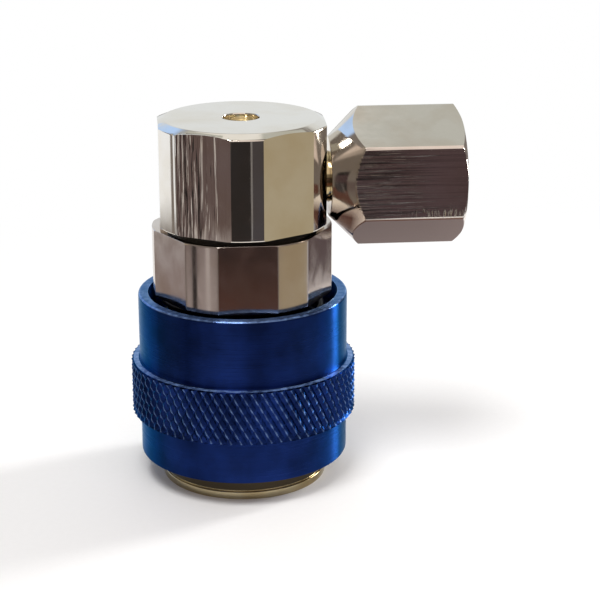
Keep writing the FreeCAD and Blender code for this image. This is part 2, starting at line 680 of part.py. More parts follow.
def make_valve(size, place):
    """The check valve: stem with its disc, seal ring, and the guide above it."""
    stem = new_body("valve_stem")
    revolve(stem, "blank", [
        (0, size.port_depth - size.valve_tip_reach),
        (size.valve_tip_radius, size.port_depth - size.valve_tip_reach),
        (size.valve_tip_radius, size.port_depth),
        (size.valve_hub_radius, size.port_depth),
        (size.valve_hub_radius, place.disc_bottom),
        (size.valve_disc_radius, place.disc_bottom),
        (size.valve_disc_radius, place.disc_top),
        (size.stem_radius, place.disc_top),
        (size.stem_radius, place.counterbore_top + size.stem_overrun),
        (0, place.counterbore_top + size.stem_overrun),
    ])
    ring = new_body("valve_seal", place.seat + size.valve_seat_gap)
    revolve(ring, "ring", [
        (size.valve_hub_radius, 0),
        (size.valve_seal_radius, 0),
        (size.valve_seal_radius, size.valve_seal_thickness),
        (size.valve_hub_radius, size.valve_seal_thickness),
    ])
    guide = new_body("stem_guide", place.guide_bottom)
    rim = size.chamber_radius - size.guide_clearance
    hole = size.stem_radius + size.stem_fit
    revolve(guide, "disc", [(hole, 0), (rim, 0), (rim, size.guide_height), (hole, size.guide_height)])
    sketch = new_sketch(guide, "flow_hole_outline", "XY_Plane")
    draw_circle(sketch, size.flow_hole_circle, 0, size.flow_hole_radius)
    repeat_round(guide, "flow_holes", [cut_through(guide, "flow_hole", sketch)], FLOW_HOLE_COUNT)


def make_spring(label, bottom, top, radius, wire, pitch, seat_gap):
    """A compression spring with ground ends between two seats."""
    body = new_body(label, bottom + seat_gap)
    length = top - bottom - 2 * seat_gap
    sketch = new_sketch(body, "wire_outline", "XZ_Plane")
    draw_outline(sketch, wire_section(radius, wire / 2))
    coil = body.newObject("PartDesign::AdditiveHelix", f"{label}_coil")
    coil.Profile = sketch
    coil.ReferenceAxis = (sketch, ["V_Axis"])
    coil.Mode = "pitch-height-angle"
    bind(coil, "Pitch", pitch)
    bind(coil, "Height", length)
    outside = radius + wire
    revolve(body, "lower_grinding", [(0, -wire), (outside, -wire), (outside, 0), (0, 0)], cut=True)
    revolve(body, "upper_grinding", [
        (0, length), (outside, length), (outside, length + wire), (0, length + wire)], cut=True)


def check_model(labels):
    """Stops the build if an object failed, a cut missed or a shape is not a sound solid."""
    for item in doc.Objects:
        if "Invalid" in item.State or "Error" in item.State:
            raise RuntimeError(f"{item.Name} failed: {item.State}")
        base = getattr(item, "BaseFeature", None)
        missed = base is not None and item.Shape.Volume >= base.Shape.Volume - 1e-6
        if missed and item.TypeId in CUTS:
            raise RuntimeError(f"{item.Name} cuts nothing")
    for label in labels:
        shape = doc.getObjectsByLabel(label)[0].Shape
        if shape.isNull() or not shape.isValid() or not shape.Solids:
            raise RuntimeError(f"{label} is not a sound solid")


def main():
    size = make_sheet()
    place = Layout(size)
    make_lower_socket(size, place)
    make_hex_body(size, place)
    make_sleeve(size, place)
    make_balls(size, place)
    make_seals(size, place)
    make_thrust_washer(size, place)
    make_swivel_head(size, place)
    make_side_neck(size, place)
    make_hose_gasket(size, place)
    make_swivel_nut(size, place)
    make_valve(size, place)
    make_spring("sleeve_spring", place.shelf, size.barrel_height, size.sleeve_spring_radius,
                size.sleeve_spring_wire, size.sleeve_spring_pitch, size.spring_seat_gap)
    make_spring("valve_spring", place.disc_top, place.guide_bottom, size.valve_spring_radius,
                size.valve_spring_wire, size.valve_spring_pitch, size.spring_seat_gap)
    doc.recompute()
    parts = [item for item in doc.Objects
             if item.TypeId in ("PartDesign::Body", "Part::Sphere")]
    check_model([item.Label for item in parts])
    os.makedirs("parts", exist_ok=True)
    for item in parts:
        item.Shape.exportStep(f"parts/{item.Label}.step")
        print(f"{item.Label}: {item.Shape.Volume:.2f} mm3, {len(item.Shape.Solids)} solid")


main()
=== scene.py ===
"""Refrigerant quick coupler: its visible pieces, their finishes and a plain studio.

The CAD frame gives the bodies and their places. The turned and milled pieces are modelled again
here with softened edges, a cut diamond knurl and a real hose thread, and stand for their CAD nodes.
Sizes are in millimetres and become metres where a mesh is made.
"""

from __future__ import annotations

import json
import logging
import math
from collections.abc import Callable, Iterable, Iterator
from contextlib import contextmanager
from dataclasses import dataclass
from enum import Enum

import bpy
from bpy.types import Material, Node, NodeSocket, NodeTree, Object
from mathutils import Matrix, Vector

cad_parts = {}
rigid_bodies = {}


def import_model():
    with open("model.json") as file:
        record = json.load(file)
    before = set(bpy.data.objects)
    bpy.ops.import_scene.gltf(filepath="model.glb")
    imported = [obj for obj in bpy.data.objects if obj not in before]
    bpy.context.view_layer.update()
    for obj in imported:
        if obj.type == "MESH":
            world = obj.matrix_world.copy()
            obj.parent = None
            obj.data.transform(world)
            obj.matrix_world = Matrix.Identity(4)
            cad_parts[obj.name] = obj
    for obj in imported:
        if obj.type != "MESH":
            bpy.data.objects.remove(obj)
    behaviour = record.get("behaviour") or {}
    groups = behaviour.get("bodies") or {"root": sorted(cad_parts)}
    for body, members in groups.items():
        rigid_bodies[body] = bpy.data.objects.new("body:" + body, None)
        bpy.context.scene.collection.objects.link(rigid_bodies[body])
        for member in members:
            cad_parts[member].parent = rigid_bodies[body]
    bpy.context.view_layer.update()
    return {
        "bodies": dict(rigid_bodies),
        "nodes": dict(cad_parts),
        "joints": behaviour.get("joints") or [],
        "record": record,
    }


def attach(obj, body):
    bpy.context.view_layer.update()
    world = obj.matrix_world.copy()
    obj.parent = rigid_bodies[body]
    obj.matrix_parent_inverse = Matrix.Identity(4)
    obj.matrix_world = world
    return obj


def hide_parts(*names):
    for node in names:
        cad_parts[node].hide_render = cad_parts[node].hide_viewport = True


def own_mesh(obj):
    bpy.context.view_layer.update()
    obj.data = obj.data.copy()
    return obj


LOG = logging.getLogger("coupler")

MM = 0.001
MICRON = 1e-6
# points of a mesh that lie closer than this, in metres, are one point
MERGE_DISTANCE = 1e-7
# height of the side port's axis in millimetres
PORT_HEIGHT = 43.25
FLAT_COUNT = 6
BALL_COUNT = 6
DRILL_COLUMNS = 36
# an edge that turns by more degrees than this is a corner that milling left sharp
MILLED_CORNER = 14.0
# how strongly a face's area draws the shading of its corners, as Blender counts it
AREA_WEIGHT = 60

Pair = tuple[float, float]
Triple = tuple[float, float, float]
Colour = tuple[float, float, float, float]
Band = tuple[float, float, float, float]
Outline = list[Pair]
Source = Node | NodeSocket

# the bands of noise that become clouds in a colour and smudges in a polish
CLOUD_BAND = (0.42, 0.72, 0.0, 0.7)
SMUDGE_BAND = (0.35, 0.7)
# how far below a flat of a hexagon its mask begins and is full, in millimetres
FLAT_FADE = (0.20, 0.08)


class Axis(Enum):
    """The line that a piece is turned about."""

    MAIN = (0.0, 0.0, 1.0)
    SIDE_PORT = (1.0, 0.0, 0.0)

    def outward(self, turn: float) -> Vector:
        """Returns the direction away from the line at an angle in radians."""
        side, rise = math.cos(turn), math.sin(turn)
        return Vector((side, rise, 0)) if self is Axis.MAIN else Vector((0, side, rise))

    def spot(self, along: float, away: float, turn: float) -> Vector:
        """Finds a place round the line.

        Args:
            along: How far along the line it lies in millimetres.
            away: Its distance from the line in millimetres.
            turn: Its angle about the line in radians.

        Returns:
            The place in millimetres.
        """
        origin = Vector((0, 0, 0 if self is Axis.MAIN else PORT_HEIGHT))
        return origin + along * Vector(self.value) + away * self.outward(turn)


class Slot(Enum):
    """The record's material slots named for the remodelled pieces."""

    PLATED_BRASS = "plated_brass"
    BLUE_ALUMINIUM = "blue_aluminium"
    SPRING_STEEL = "spring_steel"
    SEAL_RUBBER = "seal_rubber"


class Element(Enum):
    """What a list of numbers picks in a mesh."""

    POINT = "vertices"
    FACE = "polygons"


def srgb(code: str) -> Colour:
    """Turns an sRGB hex code into a linear colour.

    Args:
        code: The code, such as "#1B306E".

    Returns:
        The linear colour, opaque.
    """
    channels = [int(code[index:index + 2], 16) / 255 for index in (1, 3, 5)]
    red, green, blue = (c / 12.92 if c <= 0.04045 else ((c + 0.055) / 1.055) ** 2.4 for c in channels)
    return (red, green, blue, 1.0)


def per_metre(*lengths: float) -> tuple[float, ...]:
    """Returns the pattern scales that make one period as long as each length in millimetres."""
    return tuple(1 / (MM * length) for length in lengths)


def add_node(tree: NodeTree, kind: str, settings: dict | None = None,
             links: dict[str | int, Source] | None = None) -> Node:
    """Adds a shader node.

    Args:
        tree: The tree that gets the node.
        kind: The node's type name after "ShaderNode".
        settings: Properties by name, and input values by the input's name or number.
        links: Nodes or their outputs, by the name or number of the input that they feed. A node
            feeds its first output in use.

    Returns:
        The new node.
    """
    node = tree.nodes.new(f"ShaderNode{kind}")

    def entry(key: str | int) -> NodeSocket:
        """Returns the input in use that has the name or the number."""
        live = [socket for socket in node.inputs if socket.enabled]
        return live[key] if isinstance(key, int) else next(s for s in live if s.name == key)

    for key, value in (settings or {}).items():
        if isinstance(key, str) and hasattr(node, key):
            setattr(node, key, value)
        else:
            entry(key).default_value = value
    for key, source in (links or {}).items():
        if isinstance(source, Node):
            source = next(socket for socket in source.outputs if socket.enabled)
        tree.links.new(source, entry(key))
    return node


def empty_material(name: str) -> tuple[Material, NodeTree, NodeSocket]:
    """Starts a material.

    Args:
        name: The material's name.

    Returns:
        The material, its tree, and the object coordinates in it.
    """
    material = bpy.data.materials.new(name)
    material.use_nodes = True
    material.node_tree.nodes.clear()
    place = add_node(material.node_tree, "TexCoord").outputs["Object"]
    return material, material.node_tree, place


def pattern(tree: NodeTree, place: Source, lengths: Triple, detail: float, warp: float = 0.0,
            shift: Triple = (0.0, 0.0, 0.0), band: Band | None = None) -> Node:
    """Adds an uneven pattern that is measured in millimetres.

    Args:
        tree: The material's tree.
        place: The object coordinates.
        lengths: Length of one period along X, Y and Z in millimetres.
        detail: How many finer patterns lie in it.
        warp: How strongly it is warped.
        shift: Where in the noise it starts.
        band: The lowest and highest noise in use and what these two become, or None.

    Returns:
        The node whose output is the pattern.
    """
    spaced = add_node(tree, "Mapping", {"Scale": per_metre(*lengths), "Location": shift},
                      {"Vector": place})
    noise = add_node(tree, "TexNoise", {"Scale": 1.0, "Detail": detail, "Distortion": warp},
                     {"Vector": spaced})
    if not band:
        return noise
    limits = dict(zip(("From Min", "From Max", "To Min", "To Max"), band))
    return add_node(tree, "MapRange", limits, {"Value": noise})


def flat_mask(tree: NodeTree, place: Source, side: Triple, distance: float) -> Node:
    """Adds a mask that is 1 on one flat of a hexagon.

    Args:
        tree: The material's tree.
        place: The object coordinates.
        side: The flat's outward direction.
        distance: The flat's distance from the origin along it in millimetres.

    Returns:
        The node whose output is the mask.
    """
    reach = add_node(tree, "VectorMath", {"operation": "DOT_PRODUCT", 1: side}, {0: place})
    begin, full = ((distance - depth) * MM for depth in FLAT_FADE)
    return add_node(tree, "MapRange", {"From Min": begin, "From Max": full},
                    {"Value": reach.outputs["Value"]})


@dataclass(frozen=True)
class MetalFinish:
    """A metal surface with tool marks, long waves left by polishing, and fine grain.

    Attributes:
        name: The material's name.
        even: Colour where the surface is even.
        thin: Colour in the clouds where a plating is thin or a surface is dulled.
        roughness: Lowest and highest roughness.
        mark_period: Length in millimetres of the tool marks along X, Y and Z.
        mark_depth: Depth of the tool marks in microns.
        wave_depth: Depth in microns of the waves, about 5 mm long.
        grain_depth: Depth in microns of the grain, about 0.2 mm long.
        tone_and_shade_above: Colour above a height, the height in millimetres, and the roughness there;
            bare brass on the body's spigot, painted shade on the foot where the sleeve overhangs it.
        tone_and_shade_fade: Half the width in millimetres of that colour's edge.
        drawn_flat: Direction in degrees and distance in millimetres of a flat with draw marks.
        draw_depth: Depth of the draw marks in microns.
        draw_fade: Where on the flat the draw marks fade out and are full, in millimetres.
        draw_rest: The share of them that stays where they have faded.
        draw_shade: Colour in the narrow draw marks.
    """

    name: str
    even: str
    thin: str
    roughness: Pair
    mark_period: Triple
    mark_depth: float
    wave_depth: float
    grain_depth: float = 0.12
    tone_and_shade_above: tuple[str, float, float] | None = None
    tone_and_shade_fade: float = 0.15
    drawn_flat: Pair | None = None
    draw_depth: float = 180.0
    draw_fade: Pair = (-3.0, 2.5)
    draw_rest: float = 0.12
    draw_shade: str = "#6E625C"

    def build(self) -> Material:
        """Makes the material.

        Returns:
            The finished material.
        """
        material, tree, place = empty_material(self.name)
        share = pattern(tree, place, (7, 7, 7), 4.0, band=CLOUD_BAND)
        colour = add_node(tree, "Mix", {"data_type": "RGBA", "A": srgb(self.even),
                                        "B": srgb(self.thin)}, {"Factor": share})
        roughness = pattern(tree, place, (2.4, 2.4, 3.4), 5.0, 0.6, (3, 1, 2),
                            (*SMUDGE_BAND, *self.roughness))
        waves = add_node(tree, "Bump", {"Distance": self.wave_depth * MICRON},
                         {"Height": pattern(tree, place, (5, 5, 9), 1.0)})
        marks = add_node(tree, "Bump", {"Distance": self.mark_depth * MICRON},
                         {"Height": pattern(tree, place, self.mark_period, 2.0, 0.2),
                          "Normal": waves})
        # above a height: bare brass on the body's spigot; on the foot, painted shade under the sleeve
        if self.tone_and_shade_above:
            high = add_node(tree, "SeparateXYZ", None, {"Vector": place}).outputs["Z"]
            code, height, dull = self.tone_and_shade_above
            above = add_node(tree, "MapRange", {"From Min": (height - self.tone_and_shade_fade) * MM,
                                                "From Max": (height + self.tone_and_shade_fade) * MM},
                             {"Value": high})
            colour = add_node(tree, "Mix", {"data_type": "RGBA", "B": srgb(code)},
                              {"Factor": above, "A": colour})
            roughness = add_node(tree, "Mix", {"B": dull}, {"Factor": above, "A": roughness})
        if self.drawn_flat:
            colour, marks = self.draw_marks(tree, place, colour, marks)
        grain = add_node(tree, "Bump", {"Distance": self.grain_depth * MICRON},
                         {"Height": pattern(tree, place, (0.22, 0.22, 0.22), 3.0), "Normal": marks})
        shader = add_node(tree, "BsdfPrincipled", {"Metallic": 1.0},
                          {"Base Color": colour, "Roughness": roughness, "Normal": grain})
        add_node(tree, "OutputMaterial", None, {"Surface": shader})
        return material

    def draw_marks(self, tree: NodeTree, place: Source, colour: Source,
                   normal: Source) -> tuple[Source, Source]:
        """Adds the wavy upright draw marks that cover one flat.

        Args:
            tree: The material's tree.
            place: The object coordinates.
            colour: The colour so far.
            normal: The relief so far.

        Returns:
            The colour and the relief with the marks.
        """
        turn, distance = math.radians(self.drawn_flat[0]), self.drawn_flat[1]
        side = (math.cos(turn), math.sin(turn), 0)
        inside = flat_mask(tree, place, side, distance)
        along = add_node(tree, "VectorMath", {"operation": "DOT_PRODUCT", 1: (side[1], -side[0], 0)},
                         {0: place})
        fade = add_node(tree, "MapRange", {"From Min": self.draw_fade[0] * MM,
                                           "From Max": self.draw_fade[1] * MM,
                                           "To Min": self.draw_rest}, {"Value": along.outputs["Value"]})
        share = add_node(tree, "Math", {"operation": "MULTIPLY"}, {0: inside, 1: fade})
        streak = pattern(tree, place, (0.9, 0.9, 15), 2.5, 0.25, (5, 2, 0))
        height = add_node(tree, "Math", {"operation": "MULTIPLY"}, {0: streak, 1: share})
        relief = add_node(tree, "Bump", {"Distance": self.draw_depth * MICRON},
                          {"Height": height, "Normal": normal})
        line = pattern(tree, place, (0.45, 0.45, 24), 2.0, 0.0, (1, 9, 0), (0.5, 0.66, 0.0, 0.5))
        dark = add_node(tree, "Math", {"operation": "MULTIPLY"}, {0: line, 1: share})
        tinted = add_node(tree, "Mix", {"data_type": "RGBA", "B": srgb(self.draw_shade)},
                          {"Factor": dark, "A": colour})
        return tinted, relief


@dataclass(frozen=True)
class ChatteredNickel:
    """Nickel plating over the milled faces of the hose nut.

    Attributes:
        name: The material's name.
        even: Colour where the plating is even.
        thin: Colour where the brass comes through.
        red_brown_reflection: Painted red-brown reflection on the lower front flat and the low rear
            cone.
        shade: Colour in the narrow lines that the cutter left.
        chatter_depth: Depth in microns of the lines that the cutter left along the nut.
        nick_depth: Depth in microns of the short scratches across the front face.
        wave_depth: Depth in microns of the waves, about 5 mm long.
        front_flat: Direction in degrees of the flat with the lines and scratches.
        reflection_flat: Direction in degrees of the flat with the painted reflection.
        flat_reach: Distance of the flats from the nut's axis in millimetres.
        roughness: Lowest and highest roughness.
        nick_roughness: Roughness in the scratches.
        line_fade: Two places along X in millimetres, and the share of the lines at each.
        nick_start: The same for the scratches.
        nick_rise: Two heights in millimetres, and the share of the scratches at each.
        cone_rise: The same for the painted reflection on the rear cone.
        cone_end: Two places along X in millimetres, and the share of that colour at each.
    """

    name: str
    even: str
    thin: str
    red_brown_reflection: str
    shade: str
    chatter_depth: float
    nick_depth: float
    wave_depth: float = 2.5
    front_flat: float = 175.0
    reflection_flat: float = 235.0
    flat_reach: float = 8.5
    roughness: Pair = (0.06, 0.15)
    nick_roughness: float = 0.36
    line_fade: Band = (16.0, 27.0, 1.0, 0.25)
    nick_start: Band = (21.0, 24.0, 0.0, 1.0)
    nick_rise: Band = (40.1, 40.6, 1.0, 0.0)
    cone_rise: Band = (41.0, 39.0, 0.0, 1.0)
    cone_end: Band = (16.0, 14.5, 0.0, 1.0)

    def build(self) -> Material:
        """Makes the material.

        Returns:
            The finished material.
        """
        material, tree, place = empty_material(self.name)
        part = add_node(tree, "SeparateXYZ", None, {"Vector": place})
        rear, outer, low, lower, inner = (
            add_node(tree, "MapRange", {"From Min": begin * MM, "From Max": end * MM,
                                        "To Min": first, "To Max": last},
                     {"Value": part.outputs[coordinate]})
            for coordinate, (begin, end, first, last) in (
                ("X", self.line_fade), ("X", self.nick_start), ("Z", self.nick_rise),
                ("Z", self.cone_rise), ("X", self.cone_end)))
        front, below = (self.on_flat(tree, place, turn) for turn in (self.front_flat, self.reflection_flat))
        share = pattern(tree, place, (6, 6, 6), 4.0, band=CLOUD_BAND)
        colour = add_node(tree, "Mix", {"data_type": "RGBA", "A": srgb(self.even),
                                        "B": srgb(self.thin)}, {"Factor": share})
        # the lower front flat and the low rear cone get a painted red-brown reflection
        cone = add_node(tree, "Math", {"operation": "MULTIPLY"}, {0: lower, 1: inner})
        under = add_node(tree, "Math", {"operation": "MAXIMUM"}, {0: below, 1: cone})
        reach = add_node(tree, "Math", {"operation": "MULTIPLY"}, {0: front, 1: rear})
        line = pattern(tree, place, (12, 0.3, 0.24), 2.0, band=(0.48, 0.64, 0.0, 0.75))
        dark = add_node(tree, "Math", {"operation": "MULTIPLY"}, {0: line, 1: reach})
        for code, mask in ((self.red_brown_reflection, under), (self.shade, dark)):
            colour = add_node(tree, "Mix", {"data_type": "RGBA", "B": srgb(code)},
                              {"Factor": mask, "A": colour})
        cut = add_node(tree, "Math", {"operation": "MULTIPLY"},
                       {0: pattern(tree, place, (9, 0.55, 0.42), 3.0, 0.15), 1: reach})
        chatter = add_node(tree, "Bump", {"Distance": self.chatter_depth * MICRON}, {"Height": cut})
        side = add_node(tree, "Math", {"operation": "MULTIPLY"}, {0: outer, 1: front})
        corner = add_node(tree, "Math", {"operation": "MULTIPLY"}, {0: side, 1: low})
        nick = pattern(tree, place, (0.30, 4, 1.4), 1.0, 0.0, (8, 3, 5), (0.46, 0.78, 0.0, 1.0))
        nicked = add_node(tree, "Math", {"operation": "MULTIPLY"}, {0: nick, 1: corner})
        nicks = add_node(tree, "Bump", {"Distance": self.nick_depth * MICRON},
                         {"Height": nicked, "Normal": chatter})
        smudge = pattern(tree, place, (3, 1.6, 1.6), 5.0, 0.6, band=(*SMUDGE_BAND, *self.roughness))
        roughness = add_node(tree, "Mix", {"B": self.nick_roughness}, {"Factor": nicked, "A": smudge})
        waves = add_node(tree, "Bump", {"Distance": self.wave_depth * MICRON},
                         {"Height": pattern(tree, place, (6, 5, 5), 1.0), "Normal": nicks})
        shader = add_node(tree, "BsdfPrincipled", {"Metallic": 1.0},
                          {"Base Color": colour, "Roughness": roughness, "Normal": waves})
        add_node(tree, "OutputMaterial", None, {"Surface": shader})
        return material

    def on_flat(self, tree: NodeTree, place: Source, degrees: float) -> Node:
        """Adds a mask that is 1 on one of the nut's flats.

        Args:
            tree: The material's tree.
            place: The object coordinates.
            degrees: The flat's direction about the nut's axis.

        Returns:
            The node whose output is the mask.
        """
        side = (0, math.cos(math.radians(degrees)), math.sin(math.radians(degrees)))
        return flat_mask(tree, place, side, self.flat_reach + side[2] * PORT_HEIGHT)


@dataclass(frozen=True)
class BlueAnodising:
    """Blue dye in the oxide of turned aluminium, paler on the knurl and rim: thinned dye and painted
    highlight.

    Attributes:
        name: The material's name.
        deep: Colour of the dye where it is thick.
        bright: Colour of the dye where it is thinner.
        wear_and_highlight_colour: Paler colour of the knurl's points and ridges, the shoulder and the
            rim: thinned dye and a painted highlight.
        wear_and_highlight_name: The point attribute that gives each point's share of that paler colour.
        roughness: Lowest and highest roughness of the turned surface.
        worn_roughness: Roughness of the knurl's points.
        worn_metal: How metallic the worn points are.
        line_depth: Depth in microns of the turned rings and of the etched grain.
        glint: Colour of the highlight.
    """

    name: str
    deep: str
    bright: str
    wear_and_highlight_colour: str
    wear_and_highlight_name: str
    roughness: Pair = (0.26, 0.34)
    worn_roughness: float = 0.16
    worn_metal: float = 0.35
    line_depth: float = 0.5
    glint: Colour = (0.46, 0.68, 0.92, 1.0)

    def build(self) -> Material:
        """Makes the material.

        Returns:
            The finished material.
        """
        material, tree, place = empty_material(self.name)
        share = pattern(tree, place, (5, 5, 5), 3.0, band=(0.35, 0.7, 0.0, 1.0))
        blue = add_node(tree, "Mix", {"data_type": "RGBA", "A": srgb(self.deep),
                                      "B": srgb(self.bright)}, {"Factor": share})
        point = add_node(tree, "Attribute", {"attribute_name": self.wear_and_highlight_name}).outputs["Fac"]
        wear_and_highlight_mask = add_node(tree, "MapRange", {"From Min": 0.7, "From Max": 1.0}, {"Value": point})
        patch = pattern(tree, place, (0.9, 0.9, 0.9), 3.0, band=(0.35, 0.65, 0.45, 1.0))
        wear_and_highlight = add_node(tree, "Math", {"operation": "MULTIPLY"}, {0: wear_and_highlight_mask, 1: patch})
        # paler colour on the knurl and rim: thinned dye and a painted highlight
        colour = add_node(tree, "Mix", {"data_type": "RGBA", "B": srgb(self.wear_and_highlight_colour)},
                          {"Factor": wear_and_highlight, "A": blue})
        turning = pattern(tree, place, (40, 40, 0.11), 2.0)
        roughness = add_node(tree, "MapRange", {"From Min": 0.3, "From Max": 0.7,
                                                "To Min": self.roughness[0],
                                                "To Max": self.roughness[1]}, {"Value": turning})
        polished = add_node(tree, "Mix", {"B": self.worn_roughness}, {"Factor": wear_and_highlight_mask, "A": roughness})
        bare = add_node(tree, "MapRange", {"To Min": 1.0, "To Max": self.worn_metal}, {"Value": wear_and_highlight})
        lines = add_node(tree, "Bump", {"Distance": self.line_depth * MICRON}, {"Height": turning})
        grain = add_node(tree, "Bump", {"Distance": self.line_depth * MICRON},
                         {"Height": pattern(tree, place, (0.14, 0.14, 0.14), 3.0), "Normal": lines})
        # the turned rings draw every highlight out into an upright band
        shader = add_node(tree, "BsdfPrincipled",
                          {"Anisotropic": 1.0, "Anisotropic Rotation": 0.25,
                           "Specular Tint": self.glint},
                          {"Base Color": colour, "Metallic": bare, "Roughness": polished,
                           "Normal": grain})
        add_node(tree, "OutputMaterial", None, {"Surface": shader})
        return material


@dataclass(frozen=True)
class MouldedPolymer:
    """Rubber or nylon out of a mould, with a fine skin and a dusty bloom.

    Attributes:
        name: The material's name.
        dark: Colour of the clean skin.
        bloom: Colour where dust or bloom lies on it.
        roughness: Lowest and highest roughness.
        grain_period: Length of the skin's grain in millimetres.
        grain_depth: Depth of the grain in microns.
    """

    name: str
    dark: str
    bloom: str
    roughness: Pair
    grain_period: float
    grain_depth: float

    def build(self) -> Material:
        """Makes the material.

        Returns:
            The finished material.
        """
        material, tree, place = empty_material(self.name)
        share = pattern(tree, place, (2.5, 2.5, 2.5), 5.0, band=(0.4, 0.75, 0.0, 1.0))
        colour = add_node(tree, "Mix", {"data_type": "RGBA", "A": srgb(self.dark),
                                        "B": srgb(self.bloom)}, {"Factor": share})
        skin = pattern(tree, place, (self.grain_period,) * 3, 3.0)
        roughness = add_node(tree, "MapRange", {"From Min": 0.3, "From Max": 0.7,
                                                "To Min": self.roughness[0],
                                                "To Max": self.roughness[1]}, {"Value": skin})
        grain = add_node(tree, "Bump", {"Distance": self.grain_depth * MICRON}, {"Height": skin})
        shader = add_node(tree, "BsdfPrincipled", {"Metallic": 0.0},
                          {"Base Color": colour, "Roughness": roughness, "Normal": grain})
        add_node(tree, "OutputMaterial", None, {"Surface": shader})
        return material


class Finishes:
    """Every material of the object, built once."""

    def __init__(self) -> None:
        """Builds the materials."""
        # head: drawn hexagon bar, polished and nickel plated; a mirror with wavy upright marks
        self.head_nickel = MetalFinish(
            name="nickel_plated_brass_polished", even="#E2DCD3", thin="#D6CAB6",
            roughness=(0.035, 0.09), mark_period=(0.7, 0.7, 16.0), mark_depth=2.5, wave_depth=14.0,
            drawn_flat=(240.0, 11.4)).build()
        # hexagon body: the same plating on a milled, less polished piece; softer and darker
        self.body_nickel = MetalFinish(
            name="nickel_plated_brass_milled", even="#CBC0B8", thin="#BBA998",
            roughness=(0.10, 0.18), mark_period=(1.1, 1.1, 14.0), mark_depth=2.0, wave_depth=10.0,
            tone_and_shade_above=("#D6C48F", 37.0, 0.42)).build()
        # foot: turned brass under a thin plating; fine rings, a gold cast, painted shade above the
        # groove
        self.foot_brass = MetalFinish(
            name="nickel_flashed_brass_shaded_above", even="#B5A888", thin="#8E7440",
            roughness=(0.14, 0.26), mark_period=(40.0, 40.0, 0.16), mark_depth=1.5, wave_depth=4.0,
            tone_and_shade_above=("#3B3429", 1.35, 0.24)).build()
        # neck: the same thin plating on a polished tube; pale gold and bright
        self.neck_brass = MetalFinish(
            name="nickel_flashed_brass_turned", even="#CBBC98", thin="#A88A50",
            roughness=(0.08, 0.16), mark_period=(0.20, 40.0, 40.0), mark_depth=1.5,
            wave_depth=6.0).build()
        # hose nut: plating over milled flats; the cutter's lines break up the mirror;
        # painted red-brown reflection on the lower front flat and the low rear cone
        self.nut_nickel = ChatteredNickel(
            name="nickel_plated_brass_chattered", even="#E2DBD2", thin="#D2C4B4", red_brown_reflection="#5E4137",
            shade="#3E3436", chatter_depth=60.0, nick_depth=60.0).build()
        # locking sleeve: turned aluminium, dyed and anodised; a satin blue with a clear glint;
        # knurl and rim paler: thinned dye and a painted highlight
        self.blue = BlueAnodising(
            name="aluminium_anodised_blue", deep="#142350", bright="#1B306E", wear_and_highlight_colour="#7D9DD2",
            wear_and_highlight_name="knurl_point").build()
        # balls: hardened steel, ground; a tight mirror
        self.steel = MetalFinish(
            name="steel_hardened_ground", even="#C6C8CC", thin="#B4B6BA", roughness=(0.05, 0.10),
            mark_period=(0.5, 0.5, 0.5), mark_depth=0.3, wave_depth=0.5).build()
        # springs: drawn wire, blackened in oil; nearly black and half dull, lines along the wire
        self.wire = MetalFinish(
            name="steel_oil_blackened_wire", even="#3C3C3F", thin="#2B2B2D", roughness=(0.30, 0.42),
            mark_period=(0.9, 0.9, 0.2), mark_depth=1.5, wave_depth=1.0).build()
        # valve stem and its guide: bare brass, machined; yellow with turning rings
        self.brass = MetalFinish(
            name="brass_machined_bare", even="#CFA95E", thin="#B0843F", roughness=(0.16, 0.28),
            mark_period=(0.16, 2.0, 2.0), mark_depth=1.2, wave_depth=2.0).build()
        # O-rings, valve seal and hose gasket: nitrile rubber, moulded; black with a soft sheen
        self.rubber = MouldedPolymer(
            name="nitrile_rubber_moulded", dark="#151516", bloom="#232325", roughness=(0.42, 0.58),
            grain_period=0.25, grain_depth=3.0).build()
        # thrust washer: nylon, moulded; black and slightly waxy
        self.nylon = MouldedPolymer(
            name="nylon_black_moulded", dark="#111111", bloom="#1D1C1B", roughness=(0.35, 0.5),
            grain_period=0.4, grain_depth=2.0).build()


def deselect_all() -> None:
    """Leaves nothing selected and no object in edit mode."""
    if bpy.context.object and bpy.context.object.mode != "OBJECT":
        bpy.ops.object.mode_set(mode="OBJECT")
    bpy.ops.object.select_all(action="DESELECT")


def activate(piece: Object) -> None:
    """Makes one object the only selected and active one.

    Args:
        piece: The object.
    """
    deselect_all()
    piece.select_set(True)
    bpy.context.view_layer.objects.active = piece


@contextmanager
def editing(piece: Object, element: Element = Element.POINT,
            numbers: Iterable[int] | None = None) -> Iterator[None]:
    """Opens a piece in edit mode, and closes it after the block.

    Args:
        piece: The piece.
        element: What the numbers pick.
        numbers: The points or faces that are selected, or None for the whole piece.

    Returns:
        A context in which the piece is open.
    """
    activate(piece)
    bpy.ops.object.mode_set(mode="EDIT")
    bpy.ops.mesh.select_mode(type="VERT" if element is Element.POINT else "FACE")
    bpy.ops.mesh.select_all(action="SELECT" if numbers is None else "DESELECT")
    if numbers is not None:
        bpy.ops.object.mode_set(mode="OBJECT")
        elements = getattr(piece.data, element.value)
        for number in numbers:
            elements[number].select = True
        bpy.ops.object.mode_set(mode="EDIT")
    yield
    bpy.ops.object.mode_set(mode="OBJECT")


def face_outwards() -> None:
    """Turns every face of the piece in edit mode outwards."""
    bpy.ops.mesh.select_all(action="SELECT")
    bpy.ops.mesh.normals_make_consistent(inside=False)


def cut_off(beyond: Vector, way: Vector) -> None:
    """Cuts off and closes what the piece in edit mode has beyond a plane.

    Args:
        beyond: A place on the plane in millimetres.
        way: The direction in which all is cut off.
    """
    bpy.ops.mesh.select_all(action="SELECT")
    bpy.ops.mesh.bisect(plane_co=beyond * MM, plane_no=way, use_fill=True, clear_outer=True,
                        threshold=MERGE_DISTANCE)


